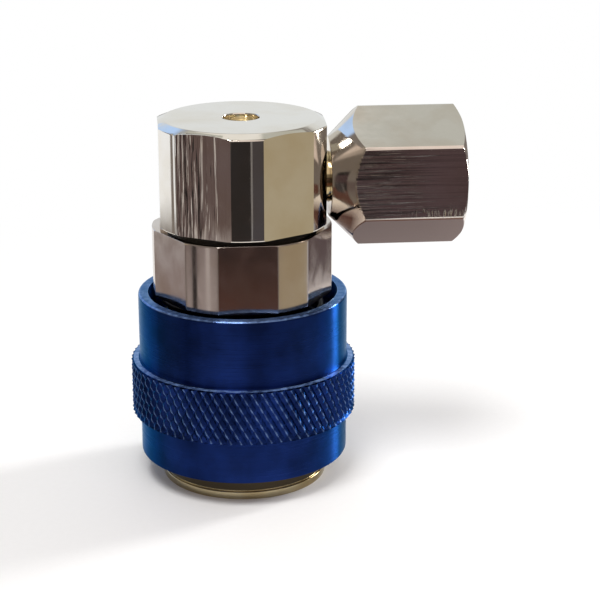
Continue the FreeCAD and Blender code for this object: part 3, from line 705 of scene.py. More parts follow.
def apply_modifier(piece: Object, kind: str, settings: dict) -> None:
    """Adds a modifier and applies it.

    Args:
        piece: The piece that it changes.
        kind: The modifier's type.
        settings: Its properties by name.
    """
    activate(piece)
    modifier = piece.modifiers.new(kind.lower(), kind)
    for key, value in settings.items():
        setattr(modifier, key, value)
    bpy.ops.object.modifier_apply(modifier=modifier.name)


def rounded(outline: Outline, width: float) -> Outline:
    """Softens the corners of a closed outline.

    A corner on the axis stays sharp, and so does one that turns by less than 8 degrees.

    Args:
        outline: Corners in millimetres.
        width: How far each corner is cut back along its two sides.

    Returns:
        The outline with three points in place of each real corner.
    """
    least_turn, side_share, bulge, axis_reach = math.radians(8), 0.42, 0.41, 1e-6
    result: Outline = []
    for index, corner in enumerate(outline):
        here = Vector(corner)
        back = Vector(outline[index - 1]) - here
        ahead = Vector(outline[(index + 1) % len(outline)]) - here
        if here.x < axis_reach or math.pi - back.angle(ahead) < least_turn:
            result.append(corner)
            continue
        reach = min(width, side_share * back.length, side_share * ahead.length)
        first, last = here + back.normalized() * reach, here + ahead.normalized() * reach
        middle = (first + last) / 2 + (here - (first + last) / 2) * bulge
        result += [tuple(first), tuple(middle), tuple(last)]
    return result


def groove(surface: float, floor: float, start: float, end: float) -> Outline:
    """Returns the four corners of a groove, from start to end along the piece."""
    return [(surface, start), (floor, start), (floor, end), (surface, end)]


def closed_line(name: str, places: Iterable[Iterable[float]]) -> Object:
    """Draws a closed line, which a spin or a screw then makes into a piece.

    Args:
        name: The piece's name.
        places: The line's points in millimetres.

    Returns:
        The piece, so far without faces.
    """
    points = [Vector(place) for place in places]
    deselect_all()
    bpy.ops.mesh.primitive_circle_add(vertices=len(points), fill_type="NOTHING")
    piece = bpy.context.object
    piece.name = piece.data.name = name
    for vertex, point in zip(piece.data.vertices, points):
        vertex.co = point * MM
    return piece


def turned_piece(name: str, outline: Outline, steps: int, axis: Axis = Axis.MAIN,
                 start: float = 0.0) -> Object:
    """Turns a closed outline about an axis, as on a lathe.

    Args:
        name: The piece's name.
        outline: Corners in millimetres: (radius, height) about the main axis, (x, radius) about
            the side port's.
        steps: Columns round the turn.
        axis: The line it is turned about.
        start: Angle of the first column in degrees.

    Returns:
        The closed solid.
    """
    corners = [(second, first) for first, second in outline] if axis is Axis.MAIN else outline
    piece = closed_line(name, (axis.spot(*corner, math.radians(start)) for corner in corners))
    with editing(piece):
        bpy.ops.mesh.spin(steps=steps, angle=math.tau, center=axis.spot(0, 0, 0) * MM,
                          axis=axis.value)
        bpy.ops.mesh.select_all(action="SELECT")
        bpy.ops.mesh.remove_doubles(threshold=MERGE_DISTANCE)
        bpy.ops.mesh.delete_loose()
        face_outwards()
    return piece


def wound_piece(name: str, outline: Iterable[Triple], axis: Axis, turns: int, pitch: float,
                steps: int) -> Object:
    """Winds a closed outline about an axis through the origin, as a coil or a thread.

    Args:
        name: The piece's name.
        outline: The outline's places in millimetres.
        axis: The direction of the axis.
        turns: How many turns it makes.
        pitch: Its rise per turn in millimetres.
        steps: Columns in each turn.

    Returns:
        The piece, with open ends.
    """
    piece = closed_line(name, outline)
    apply_modifier(piece, "SCREW", {"axis": "Z" if axis is Axis.MAIN else "X", "angle": math.tau,
                                    "iterations": turns, "screw_offset": pitch * MM, "steps": steps,
                                    "render_steps": steps, "use_merge_vertices": False})
    return piece


def mill_flats(piece: Object, across_flats: float, first: float, axis: Axis = Axis.MAIN,
               corner: float = 0.0) -> None:
    """Cuts six flats on a turned piece, and breaks the edges between them.

    Args:
        piece: The turned blank.
        across_flats: Distance over two flats in millimetres.
        first: Direction of the first flat in degrees.
        axis: The line the piece was turned about.
        corner: How deep the edges between the flats are cut back in millimetres, or 0.
    """
    step = 360 / FLAT_COUNT
    edge_reach = across_flats / 2 / math.cos(math.radians(step / 2)) - corner
    cuts = [(first + index * step, across_flats / 2) for index in range(FLAT_COUNT)]
    if corner:
        cuts += [(first + (index + 0.5) * step, edge_reach) for index in range(FLAT_COUNT)]
    with editing(piece):
        for degrees, reach in cuts:
            turn = math.radians(degrees)
            cut_off(axis.spot(0, reach, turn), axis.outward(turn))
        face_outwards()


def break_edges(piece: Object, width: float) -> None:
    """Breaks the edges that milling left sharp, by a width in millimetres."""
    apply_modifier(piece, "BEVEL", {"width": width * MM, "segments": 2, "limit_method": "ANGLE",
                                    "angle_limit": math.radians(MILLED_CORNER),
                                    "use_clamp_overlap": True})


def drill(piece: Object, radius: float, start: Triple, length: float, turn: float = 0.0) -> None:
    """Drills a level hole outwards into a piece.

    Args:
        piece: The piece that is drilled.
        radius: Radius of the hole in millimetres.
        start: Where the hole begins, in millimetres, before it is turned.
        length: How far the drill reaches from there along +X.
        turn: Angle in radians about the main axis at which the hole lies.
    """
    deselect_all()
    bpy.ops.mesh.primitive_cylinder_add(vertices=DRILL_COLUMNS, radius=radius * MM, depth=length * MM,
                                        location=(0, 0, 0), rotation=(0, math.pi / 2, 0))
    tool = bpy.context.object
    bpy.ops.object.transform_apply(location=False, rotation=True, scale=False)
    middle = (Vector(start) + Vector((length / 2, 0, 0))) * MM
    for vertex in tool.data.vertices:
        place = vertex.co + middle
        vertex.co = (place.x * math.cos(turn) - place.y * math.sin(turn),
                     place.x * math.sin(turn) + place.y * math.cos(turn), place.z)
    apply_modifier(piece, "BOOLEAN", {"operation": "DIFFERENCE", "object": tool, "solver": "EXACT"})
    bpy.data.objects.remove(tool, do_unlink=True)


def smooth(piece: Object, angle: float = 50.0) -> None:
    """Shades a piece smooth and keeps its flat faces flat.

    Args:
        piece: The piece.
        angle: Edges that turn by more degrees than this stay sharp.
    """
    activate(piece)
    bpy.ops.object.shade_smooth_by_angle(angle=math.radians(angle))
    apply_modifier(piece, "WEIGHTED_NORMAL", {"mode": "FACE_AREA", "weight": AREA_WEIGHT,
                                             "keep_sharp": True})


def dress(piece: Object, body: str, material: Material, slot: Slot, *nodes: str) -> Object:
    """Gives a finished piece its material and its body, and hides the CAD nodes that it stands for.

    Args:
        piece: The piece.
        body: The body that it rides on.
        material: Its finish.
        slot: Its material slot in the record; not used.
        *nodes: The CAD nodes that it stands for.

    Returns:
        The same piece.
    """
    piece.data.materials.clear()
    piece.data.materials.append(material)
    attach(piece, body)
    if nodes:
        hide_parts(*nodes)
    deselect_all()
    return piece


@dataclass
class SwivelHead:
    """The plated hexagon cap that turns on the spigot."""

    across_flats: float = 22.8
    corner_radius: float = 12.1
    top_radius: float = 10.64
    chamfer: float = 0.6
    bottom: float = 37.4
    top: float = 51.87
    bore: float = 6.05
    hole: float = 2.55
    roof: float = 2.27
    neck_hole: float = 3.52
    drill_start: float = 8.6
    drill_length: float = 10.0
    edge: float = 0.16
    broken_edge: float = 0.10
    columns: int = 156

    def build(self, finishes: Finishes) -> Object:
        """Models the cap: turned, milled to a hexagon, drilled for the side neck.

        Args:
            finishes: The object's materials.

        Returns:
            The cap.
        """
        outline = [(self.bore, self.bottom), (self.corner_radius, self.bottom),
                   (self.corner_radius, self.top - self.chamfer), (self.top_radius, self.top),
                   (self.hole, self.top), (self.hole, self.top - self.roof),
                   (self.bore, self.top - self.roof)]
        piece = turned_piece("head_shell", rounded(outline, self.edge), self.columns,
                             start=180 / self.columns)
        mill_flats(piece, self.across_flats, 0.0)
        break_edges(piece, self.broken_edge)
        drill(piece, self.neck_hole, (self.drill_start, 0, PORT_HEIGHT), self.drill_length)
        smooth(piece)
        return dress(piece, "head", finishes.head_nickel, Slot.PLATED_BRASS, "swivel_head")


@dataclass
class HexBody:
    """The plated hexagon body under the head, with the spigot that the head turns on.

    The spigot has a groove for each O-ring, a waist at the side port and a groove for the clip.
    """

    across_flats: float = 23.8
    corner_radius: float = 12.55
    bottom: float = 27.2
    top: float = 36.8
    counterbore: float = 7.5
    counterbore_top: float = 33.8
    passage: float = 2.4
    passage_end: float = 45.35
    spigot: float = 6.0
    spigot_top: float = 49.5
    ring_floor: float = 4.92
    lower_ring: Pair = (39.40, 40.70)
    upper_ring: Pair = (45.80, 47.10)
    waist: float = 5.2
    waist_reach: float = 1.55
    clip_floor: float = 5.65
    clip: Pair = (48.05, 48.75)
    nose: float = 2.5
    nose_top: float = 50.87
    edge: float = 0.14
    broken_edge: float = 0.12
    columns: int = 84

    def build(self, finishes: Finishes) -> Object:
        """Models the body: turned with its spigot and grooves, and milled to a hexagon.

        Args:
            finishes: The object's materials.

        Returns:
            The body.
        """
        outline = [(self.counterbore, self.bottom), (self.corner_radius, self.bottom),
                   (self.corner_radius, self.top), (self.spigot, self.top),
                   *groove(self.spigot, self.ring_floor, *self.lower_ring),
                   *groove(self.spigot, self.waist, PORT_HEIGHT - self.waist_reach,
                           PORT_HEIGHT + self.waist_reach),
                   *groove(self.spigot, self.ring_floor, *self.upper_ring),
                   *groove(self.spigot, self.clip_floor, *self.clip),
                   (self.spigot, self.spigot_top), (self.nose, self.spigot_top),
                   (self.nose, self.nose_top), (0.0, self.nose_top), (0.0, self.passage_end),
                   (self.passage, self.passage_end), (self.passage, self.counterbore_top),
                   (self.counterbore, self.counterbore_top)]
        piece = turned_piece("hex_body_turned", rounded(outline, self.edge), self.columns,
                             start=180 / self.columns)
        mill_flats(piece, self.across_flats, 90.0)
        break_edges(piece, self.broken_edge)
        smooth(piece)
        return dress(piece, "socket", finishes.body_nickel, Slot.PLATED_BRASS, "hex_body")


@dataclass
class Socket:
    """The socket that takes the service port, with its grooved foot and six ball holes.

    The ring groove seals against the hexagon body, the seal groove against the service port, and
    the relief lets the balls seat. A pair of heights gives a groove's two sides.
    """

    foot_radius: float = 11.7
    foot_height: float = 3.7
    band: float = 1.1
    groove_width: float = 0.25
    groove_depth: float = 0.3
    barrel: float = 9.3
    barrel_top: float = 27.2
    thread: float = 7.45
    ring_floor: float = 6.35
    ring: Pair = (30.82, 32.18)
    top: float = 33.0
    chamber: float = 5.5
    chamber_floor: float = 19.3
    seat: float = 3.2
    web: float = 17.5
    bore: float = 6.6
    seal_floor: float = 8.0
    seal: Pair = (16.55, 14.65)
    relief_floor: float = 6.8
    relief: Pair = (10.6, 6.6)
    mouth: float = 0.8
    ball_height: float = 8.6
    ball_hole: float = 2.03
    drill_start: float = 6.2
    drill_length: float = 5.0
    edge: float = 0.16
    columns: int = 108

    def build(self, finishes: Finishes) -> Object:
        """Models the socket: turned with its grooves, then drilled for the balls.

        Args:
            finishes: The object's materials.

        Returns:
            The socket.
        """
        outline = [(self.bore + self.mouth, 0.0), (self.foot_radius, 0.0),
                   *groove(self.foot_radius, self.foot_radius - self.groove_depth, self.band,
                           self.band + self.groove_width),
                   (self.foot_radius, self.foot_height), (self.barrel, self.foot_height),
                   (self.barrel, self.barrel_top), (self.thread, self.barrel_top),
                   *groove(self.thread, self.ring_floor, *self.ring), (self.thread, self.top),
                   (self.chamber, self.top), (self.chamber, self.chamber_floor),
                   (self.seat, self.chamber_floor), (self.seat, self.web), (self.bore, self.web),
                   *groove(self.bore, self.seal_floor, *self.seal),
                   *groove(self.bore, self.relief_floor, *self.relief), (self.bore, self.mouth)]
        piece = turned_piece("socket_turned", rounded(outline, self.edge), self.columns)
        for index in range(BALL_COUNT):
            drill(piece, self.ball_hole, (self.drill_start, 0, self.ball_height), self.drill_length,
                  math.tau * index / BALL_COUNT)
        smooth(piece)
        return dress(piece, "socket", finishes.foot_brass, Slot.PLATED_BRASS, "lower_socket")


@dataclass
class Sleeve:
    """The blue locking sleeve with its diamond knurl, ball cam and spring shelf."""

    radius: float = 14.72
    bottom: float = 3.75
    top: float = 27.18
    rim: float = 13.29
    shelf: float = 14.0
    land: float = 9.37
    cam_mouth: float = 10.77
    cam_top: float = 9.58
    knurl_radius: float = 15.95
    knurl_depth: float = 0.43
    ridge_depth: float = 0.25
    knurl_bottom: float = 9.88
    knurl_top: float = 17.46
    knurl_edge: float = 0.15
    rows: int = 6
    diamonds: int = 72
    edge: float = 0.2
    rim_edge: float = 0.32
    rim_bend: float = 0.096
    sharp_angle: float = 38.0
    # shares of the paler colour, thinned dye and painted highlight, on each part of the sleeve
    wear_and_highlight_name: str = "knurl_point"
    shoulder_wear_and_highlight: float = 1.0
    rim_wear_and_highlight: float = 0.84
    rim_edge_wear_and_highlight: float = 0.94
    rim_edge_reach: float = 0.192
    point_wear_and_highlight: float = 0.93
    ridge_wear_and_highlight: float = 0.78
    tolerance: float = 0.02

    def outline(self) -> tuple[Outline, list[float]]:
        """Draws half the sleeve's section.

        Returns:
            The outline, and the heights of the knurl's rows in millimetres.
        """
        low, high = self.knurl_bottom + self.knurl_edge, self.knurl_top - self.knurl_edge
        heights = [low + (high - low) * row / self.rows for row in range(self.rows + 1)]
        root = self.knurl_radius - self.knurl_edge
        before = rounded([(self.cam_mouth, self.bottom), (self.radius, self.bottom),
                          (self.radius, self.knurl_bottom), (root, self.knurl_bottom)], self.edge)
        band = [(self.knurl_radius, height) for height in heights]
        after = rounded([(root, self.knurl_top), (self.radius, self.knurl_top),
                         (self.radius, self.top - self.rim_edge),
                         (self.radius - self.rim_bend, self.top - self.rim_bend),
                         (self.radius - self.rim_edge, self.top), (self.rim, self.top),
                         (self.rim, self.shelf), (self.land, self.shelf),
                         (self.land, self.cam_top)], self.edge)
        return before + band + after, heights

    def build(self, finishes: Finishes) -> Object:
        """Models the sleeve: turned, then its band pressed into diamonds.

        Args:
            finishes: The object's materials.

        Returns:
            The sleeve.
        """
        outline, heights = self.outline()
        piece = turned_piece("sleeve_knurled", outline, 2 * self.diamonds)
        points, ridges = self.press_knurl(piece, heights)
        self.mark_wear_and_highlight(piece, points, ridges)
        smooth(piece, self.sharp_angle)
        return dress(piece, "sleeve", finishes.blue, Slot.BLUE_ALUMINIUM, "locking_sleeve")

    def press_knurl(self, piece: Object, heights: list[float]) -> tuple[set[int], list[int]]:
        """Presses every other point of the band in, so that diamonds stand between them.

        One way the grooves are cut shallower, so the diamonds join into short slanting ridges.

        Args:
            piece: The turned sleeve.
            heights: Heights of the band's rows in millimetres.

        Returns:
            The numbers of the points that stand, and of those on the ridges.
        """
        step, spacing = math.pi / self.diamonds, heights[1] - heights[0]

        def is_odd(place: Vector, whole: Callable[[float], int]) -> bool:
            """Tells whether a place's row and column, made whole, add up to an odd number."""
            row, column = (place.z / MM - heights[0]) / spacing, math.atan2(place.y, place.x) / step
            return (whole(row) + whole(column)) % 2 == 1

        band = {vertex.index for vertex in piece.data.vertices
                if abs(vertex.co.xy.length / MM - self.knurl_radius) < self.tolerance}
        pressed = [index for index in sorted(band) if is_odd(piece.data.vertices[index].co, round)]
        faces = [face for face in piece.data.polygons
                 if len(face.vertices) == 4 and band.issuperset(face.vertices)]
        joined = [face.index for face in faces if is_odd(face.center, math.floor)]
        split = [face.index for face in faces if not is_odd(face.center, math.floor)]
        self.pull_in(piece, pressed, self.knurl_radius, self.knurl_radius - self.knurl_depth)
        with editing(piece, Element.FACE, split):
            bpy.ops.mesh.quads_convert_to_tris(quad_method="SHORTEST_DIAGONAL")
        before = len(piece.data.vertices)
        with editing(piece, Element.FACE, joined):
            bpy.ops.mesh.poke()
        ridges = list(range(before, len(piece.data.vertices)))
        self.pull_in(piece, ridges, self.knurl_radius - self.knurl_depth / 2,
                     self.knurl_radius - self.ridge_depth)
        LOG.info("knurl: %d points pressed in, %d ridges", len(pressed), len(ridges))
        return band.difference(pressed), ridges

    def pull_in(self, piece: Object, points: list[int], radius: float, target: float) -> None:
        """Moves points of the sleeve from one radius to another."""
        with editing(piece, Element.POINT, points):
            bpy.ops.transform.resize(value=(target / radius, target / radius, 1.0),
                                     center_override=(0, 0, 0))

    def mark_wear_and_highlight(self, piece: Object, points: set[int], ridges: list[int]) -> None:
        """Notes on each point its share of the paler colour: thinned dye and a painted highlight.

        Args:
            piece: The knurled sleeve.
            points: Numbers of the knurl's points that stand.
            ridges: Numbers of the points on the ridges between them.
        """
        # knurl points and ridges, shoulder and rim get the paler colour: thinned dye and painted
        # highlight
        wear_and_highlight = dict.fromkeys(points, self.point_wear_and_highlight) | dict.fromkeys(ridges, self.ridge_wear_and_highlight)
        for vertex in piece.data.vertices:
            height, radius = vertex.co.z / MM, vertex.co.xy.length / MM
            if abs(height - self.knurl_top) < self.tolerance and radius > self.radius + self.tolerance:
                wear_and_highlight.setdefault(vertex.index, self.shoulder_wear_and_highlight)
            elif height > self.top - self.tolerance:
                wear_and_highlight.setdefault(vertex.index, self.rim_wear_and_highlight)
            elif height > self.top - self.rim_edge_reach:
                wear_and_highlight.setdefault(vertex.index, self.rim_edge_wear_and_highlight)
        layer = piece.data.attributes.new(self.wear_and_highlight_name, "FLOAT", "POINT")
        for index, share in wear_and_highlight.items():
            layer.data[index].value = share


@dataclass
class HoseNut:
    """The plated nut that takes the hose, with its inner thread."""

    across_flats: float = 17.0
    rear: float = 12.0
    front: float = 30.27
    rear_radius: float = 5.5
    blank: float = 10.2
    face_radius: float = 8.4
    chamfer_angle: float = 30.0
    bore: float = 3.57
    shoulder: float = 17.2
    relief: float = 5.4
    relief_end: float = 21.9
    mouth: float = 0.6
    roll: float = 5.0
    corner: float = 0.13
    edge: float = 0.16
    broken_edge: float = 0.06
    columns: int = 84
    thread_major: float = 5.58
    thread_minor: float = 4.95
    thread_pitch: float = 1.27
    thread_start: float = 22.75
    thread_root: float = 0.52
    thread_crest: float = 0.10
    thread_sink: float = 0.04
    thread_clearance: float = 0.03
    thread_steps: int = 40
    turns: int = 5

    def build(self, finishes: Finishes) -> list[Object]:
        """Models the nut: turned, milled to a hexagon, and its thread.

        Args:
            finishes: The object's materials.

        Returns:
            The nut and its thread.
        """
        slope = math.tan(math.radians(self.chamfer_angle))
        outline = [(self.rear, self.bore), (self.shoulder, self.bore), (self.shoulder, self.relief),
                   (self.relief_end, self.relief), (self.relief_end, self.thread_major),
                   (self.front - self.mouth, self.thread_major),
                   (self.front, self.thread_major + self.mouth),
                   (self.front, self.face_radius),
                   (self.front - (self.blank - self.face_radius) * slope, self.blank),
                   (self.rear + self.blank - self.rear_radius, self.blank),
                   (self.rear, self.rear_radius)]
        nut = turned_piece("hose_nut", rounded(outline, self.edge), self.columns, Axis.SIDE_PORT,
                           180 / self.columns)
        mill_flats(nut, self.across_flats, -self.roll, Axis.SIDE_PORT, self.corner)
        break_edges(nut, self.broken_edge)
        smooth(nut)
        dress(nut, "nut", finishes.nut_nickel, Slot.PLATED_BRASS, "swivel_nut")
        return [nut, self.thread(finishes)]

    def thread(self, finishes: Finishes) -> Object:
        """Models the thread: a ridge wound along the bore, sunk into its wall at both ends.

        Args:
            finishes: The object's materials.

        Returns:
            The thread.
        """
        wall, tip = self.thread_major + self.thread_sink, self.thread_minor + self.thread_clearance
        profile = [(-self.thread_root, wall), (-self.thread_crest, tip), (self.thread_crest, tip),
                   (self.thread_root, wall)]
        ridge = wound_piece("hose_thread", ((self.thread_start + along, 0.0, radius)
                                            for along, radius in profile),
                            Axis.SIDE_PORT, self.turns, self.thread_pitch, self.thread_steps)
        count, size = len(ridge.data.vertices), len(profile)
        factor = (wall - self.thread_sink / 2) / tip
        for first in (0, count - size):
            with editing(ridge, Element.POINT, range(first, first + size)):
                bpy.ops.mesh.edge_face_add()
            with editing(ridge, Element.POINT, (first + 1, first + 2)):
                bpy.ops.transform.resize(value=(1.0, factor, factor), center_override=(0, 0, 0))
        with editing(ridge):
            bpy.ops.mesh.normals_make_consistent(inside=False)
            bpy.ops.transform.translate(value=(0, 0, PORT_HEIGHT * MM))
        smooth(ridge)
        return dress(ridge, "nut", finishes.neck_brass, Slot.PLATED_BRASS)


@dataclass
class Seals:
    """The rubber rings that can be seen from the bore and the hose end."""

    section: float = 0.85
    ring: float = 7.15
    ring_height: float = 15.6
    ring_corners: int = 12
    ring_columns: int = 84
    ring_sharp_angle: float = 60.0
    gasket_bore: float = 1.9
    gasket_radius: float = 3.6
    gasket_rear: float = 20.3
    gasket_front: float = 21.8
    gasket_edge: float = 0.2
    gasket_columns: int = 48

    def build(self, finishes: Finishes) -> list[Object]:
        """Models the port's O-ring and the hose gasket.

        Args:
            finishes: The object's materials.

        Returns:
            The O-ring and the gasket.
        """
        turns = [math.tau * (index + 0.5) / self.ring_corners for index in range(self.ring_corners)]
        circle = [(self.ring + self.section * math.cos(turn),
                   self.ring_height + self.section * math.sin(turn)) for turn in turns]
        seal = turned_piece("port_ring", circle, self.ring_columns)
        smooth(seal, self.ring_sharp_angle)
        dress(seal, "socket", finishes.rubber, Slot.SEAL_RUBBER, "port_seal")
        outline = [(self.gasket_rear, self.gasket_bore), (self.gasket_front, self.gasket_bore),
                   (self.gasket_front, self.gasket_radius), (self.gasket_rear, self.gasket_radius)]
        gasket = turned_piece("gasket_ring", rounded(outline, self.gasket_edge),
                              self.gasket_columns, Axis.SIDE_PORT)
        smooth(gasket)
        dress(gasket, "head", finishes.rubber, Slot.SEAL_RUBBER, "hose_gasket")
        return [seal, gasket]


@dataclass
class SideNeck:
    """The brass tube with the collar that holds the nut."""

    rear: float = 8.6
    bore: float = 1.9
    tube: float = 3.5
    collar_rear: float = 17.3
    collar: float = 4.7
    front: float = 21.3
    gasket_seat: float = 20.3
    gasket_room: float = 3.65
    edge: float = 0.15
    columns: int = 60

    def build(self, finishes: Finishes) -> Object:
        """Models the tube and its collar.

        Args:
            finishes: The object's materials.

        Returns:
            The neck.
        """
        outline = [(self.rear, self.bore), (self.gasket_seat, self.bore),
                   (self.gasket_seat, self.gasket_room), (self.front, self.gasket_room),
                   (self.front, self.collar), (self.collar_rear, self.collar),
                   (self.collar_rear, self.tube), (self.rear, self.tube)]
        neck = turned_piece("neck_turned", rounded(outline, self.edge), self.columns, Axis.SIDE_PORT)
        smooth(neck)
        return dress(neck, "head", finishes.neck_brass, Slot.PLATED_BRASS, "side_neck")


@dataclass
class Spring:
    """A coil spring with ground ends."""

    name: str
    node: str
    joint: str
    radius: float
    wire: float
    pitch: float
    turns: int
    bottom: float
    top: float
    travel: float
    section: int = 12
    columns: int = 36

    def build(self, finishes: Finishes) -> Object:
        """Models the coil: wound a little too long, then ground flat at both ends.

        Args:
            finishes: The object's materials.

        Returns:
            The coil.
        """
        lowest = (self.bottom + self.top - self.turns * self.pitch) / 2
        angles = [math.tau * index / self.section for index in range(self.section)]
        circle = [(self.radius - self.wire / 2 * math.sin(angle), 0.0,
                   lowest + self.wire / 2 * math.cos(angle)) for angle in angles]
        coil = wound_piece(self.name, circle, Axis.MAIN, self.turns, self.pitch, self.columns)
        with editing(coil):
            for height, way in ((self.bottom, -1), (self.top, 1)):
                cut_off(Vector((0, 0, height)), Vector((0, 0, way)))
            face_outwards()
        smooth(coil)
        dress(coil, "socket", finishes.wire, Slot.SPRING_STEEL, self.node)
        height = self.top - self.bottom
        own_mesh(coil)
        return coil


SPRINGS = (
    Spring(name="sleeve_coil", node="sleeve_spring", joint="sleeve_slide", radius=11.1, wire=1.1,
           pitch=2.9, turns=5, bottom=14.03, top=27.17, travel=4.2),
    Spring(name="valve_coil", node="valve_spring", joint="valve_lift", radius=2.9, wire=0.55,
           pitch=2.0, turns=6, bottom=21.66, top=31.77, travel=2.5),
)


class InnerParts:
    """The CAD nodes that stay, with their finishes."""

    def build(self, frame: dict, finishes: Finishes) -> None:
        """Gives each carried-over node its material.

        Args:
            frame: What the frame's load returned.
            finishes: The object's materials.
        """
        chosen = {
            finishes.rubber: ("body_seal", "lower_swivel_seal", "upper_swivel_seal", "valve_seal"),
            finishes.nylon: ("thrust_washer",),
            finishes.steel: [f"ball_{number}" for number in range(1, BALL_COUNT + 1)],
            finishes.wire: ("head_retaining_ring",),
            finishes.brass: ("valve_stem", "stem_guide"),
        }
        for material, names in chosen.items():
            for name in names:
                for slot in frame["nodes"][name].material_slots:
                    slot.material = material
                LOG.info("%s keeps its CAD shape in %s", name, material.name)


@dataclass(frozen=True)
class RoomArea:
    """A soft-edged area of the room round the object.

    Attributes:
        azimuth: Direction of its middle in degrees, from +X towards +Y.
        elevation: Degrees of its middle above the horizon.
        width: Half its width in degrees.
        height: Half its height in degrees.
        fade: Degrees over which its edges fade.
        light: Its linear colour.
    """

    azimuth: float
    elevation: float
    width: float
    height: float
    fade: float
    light: Colour

    def paint(self, tree: NodeTree, heading: Source, rise: Source, light: Source) -> Node:
        """Lays the area over the room so far.

        Args:
            tree: The world's tree.
            heading: The level direction of view, of length 1.
            rise: The sine of the view's elevation.
            light: The room so far.

        Returns:
            The node whose output is the room with the area.
        """
        turn, edge = math.radians(self.azimuth), self.width + self.fade
        near = add_node(tree, "VectorMath",
                        {"operation": "DOT_PRODUCT", 1: (math.cos(turn), math.sin(turn), 0)},
                        {0: heading})
        across = add_node(tree, "MapRange", {"interpolation_type": "SMOOTHSTEP",
                                             "From Min": math.cos(math.radians(edge)),
                                             "From Max": math.cos(math.radians(self.width))},
                          {"Value": near.outputs["Value"]})
        above = add_node(tree, "Math", {"operation": "SUBTRACT",
                                        1: math.sin(math.radians(self.elevation))}, {0: rise})
        off = add_node(tree, "Math", {"operation": "ABSOLUTE"}, {0: above})
        up = add_node(tree, "MapRange", {"interpolation_type": "SMOOTHSTEP",
                                         "From Min": math.radians(self.height + self.fade),
                                         "From Max": math.radians(self.height)}, {"Value": off})
        share = add_node(tree, "Math", {"operation": "MULTIPLY"}, {0: across, 1: up})
        return add_node(tree, "Mix", {"data_type": "RGBA", "B": self.light},
                        {"Factor": share, "A": light})


ROOM_BASE = (0.24, 0.215, 0.20, 1.0)
ROOM_AREAS = (
    # ceiling, and the bright wall behind the object that the top faces mirror
    RoomArea(70, 66, 40, 12, 8, (0.60, 0.62, 0.59, 1.0)),
    RoomArea(89, 52, 12, 6, 3, (1.0, 1.0, 0.98, 1.0)),
    RoomArea(280, 56, 40, 24, 5, (1.0, 0.90, 0.86, 1.0)),
    RoomArea(86, 14, 26, 13, 8, (0.85, 0.89, 0.91, 1.0)),
    RoomArea(124, 25, 18, 8, 6, (0.58, 0.82, 1.25, 1.0)),
    RoomArea(180, 8, 12, 10, 6, (0.72, 0.64, 0.46, 1.0)),
    # bench front: dark in the middle, red-brown close by, mauve to the left, beige to the right
    RoomArea(275, -24, 30, 6, 3, (0.15, 0.075, 0.06, 1.0)),
    RoomArea(274, -6, 19, 10, 3, (0.032, 0.028, 0.028, 1.0)),
    RoomArea(212, -15, 19, 7, 5, (0.140, 0.102, 0.100, 1.0)),
    RoomArea(212, -20, 19, 3.2, 0.9, (0.46, 0.41, 0.40, 1.0)),
    RoomArea(152, -20, 13, 3.2, 0.9, (0.34, 0.28, 0.27, 1.0)),
    RoomArea(336, -15, 18, 7, 5, (0.47, 0.41, 0.29, 1.0)),
    # pale and dark things low on the right
    RoomArea(7, -14, 7, 16, 8, (0.62, 0.64, 0.70, 1.0)),
    RoomArea(36, -16, 14, 8, 6, (0.13, 0.10, 0.105, 1.0)),
    # window at the left, its frame, and narrow lights and gaps that show in the tool marks
    RoomArea(134, -3.3, 27, 11.3, 1.2, (1.08, 1.12, 1.18, 1.0)),
    RoomArea(222, -14, 1.8, 12, 1.5, (0.62, 0.58, 0.57, 1.0)),
    RoomArea(203, -14, 2.5, 12, 2, (0.030, 0.026, 0.026, 1.0)),
    RoomArea(279.5, -15, 0.6, 5, 0.8, (0.26, 0.25, 0.26, 1.0)),
    RoomArea(287, -15, 5, 5, 2, (0.075, 0.068, 0.075, 1.0)),
    RoomArea(279, -3, 14, 4, 2, (0.092, 0.062, 0.068, 1.0)),
)


@dataclass(frozen=True)
class Softbox:
    """A rectangular lamp that shines at the middle of the object.

    Attributes:
        name: The lamp's name.
        place: Its place in metres.
        size: Its width and height in metres.
        power: Its power in watts.
        target: The place that it shines at.
    """

    name: str
    place: Triple
    size: Pair
    power: float
    target: Triple = (0.0, 0.0, 0.025)

    def hang(self) -> None:
        """Puts the lamp in its place."""
        bpy.ops.object.light_add(type="AREA", location=self.place)
        lamp = bpy.context.object
        lamp.name = lamp.data.name = self.name
        lamp.data.shape = "RECTANGLE"
        lamp.data.size, lamp.data.size_y = self.size
        lamp.data.energy = self.power
        way = Vector(self.target) - Vector(self.place)
        lamp.rotation_euler = way.to_track_quat("-Z", "Y").to_euler()


# one large softbox over the front left, and one upright strip at the back right
LAMPS = (Softbox("overhead_softbox", (-0.12, -0.23, 0.60), (0.24, 0.24), 2.1),
         Softbox("side_strip", (0.49, 0.205, 0.145), (0.10, 0.42), 3.2))


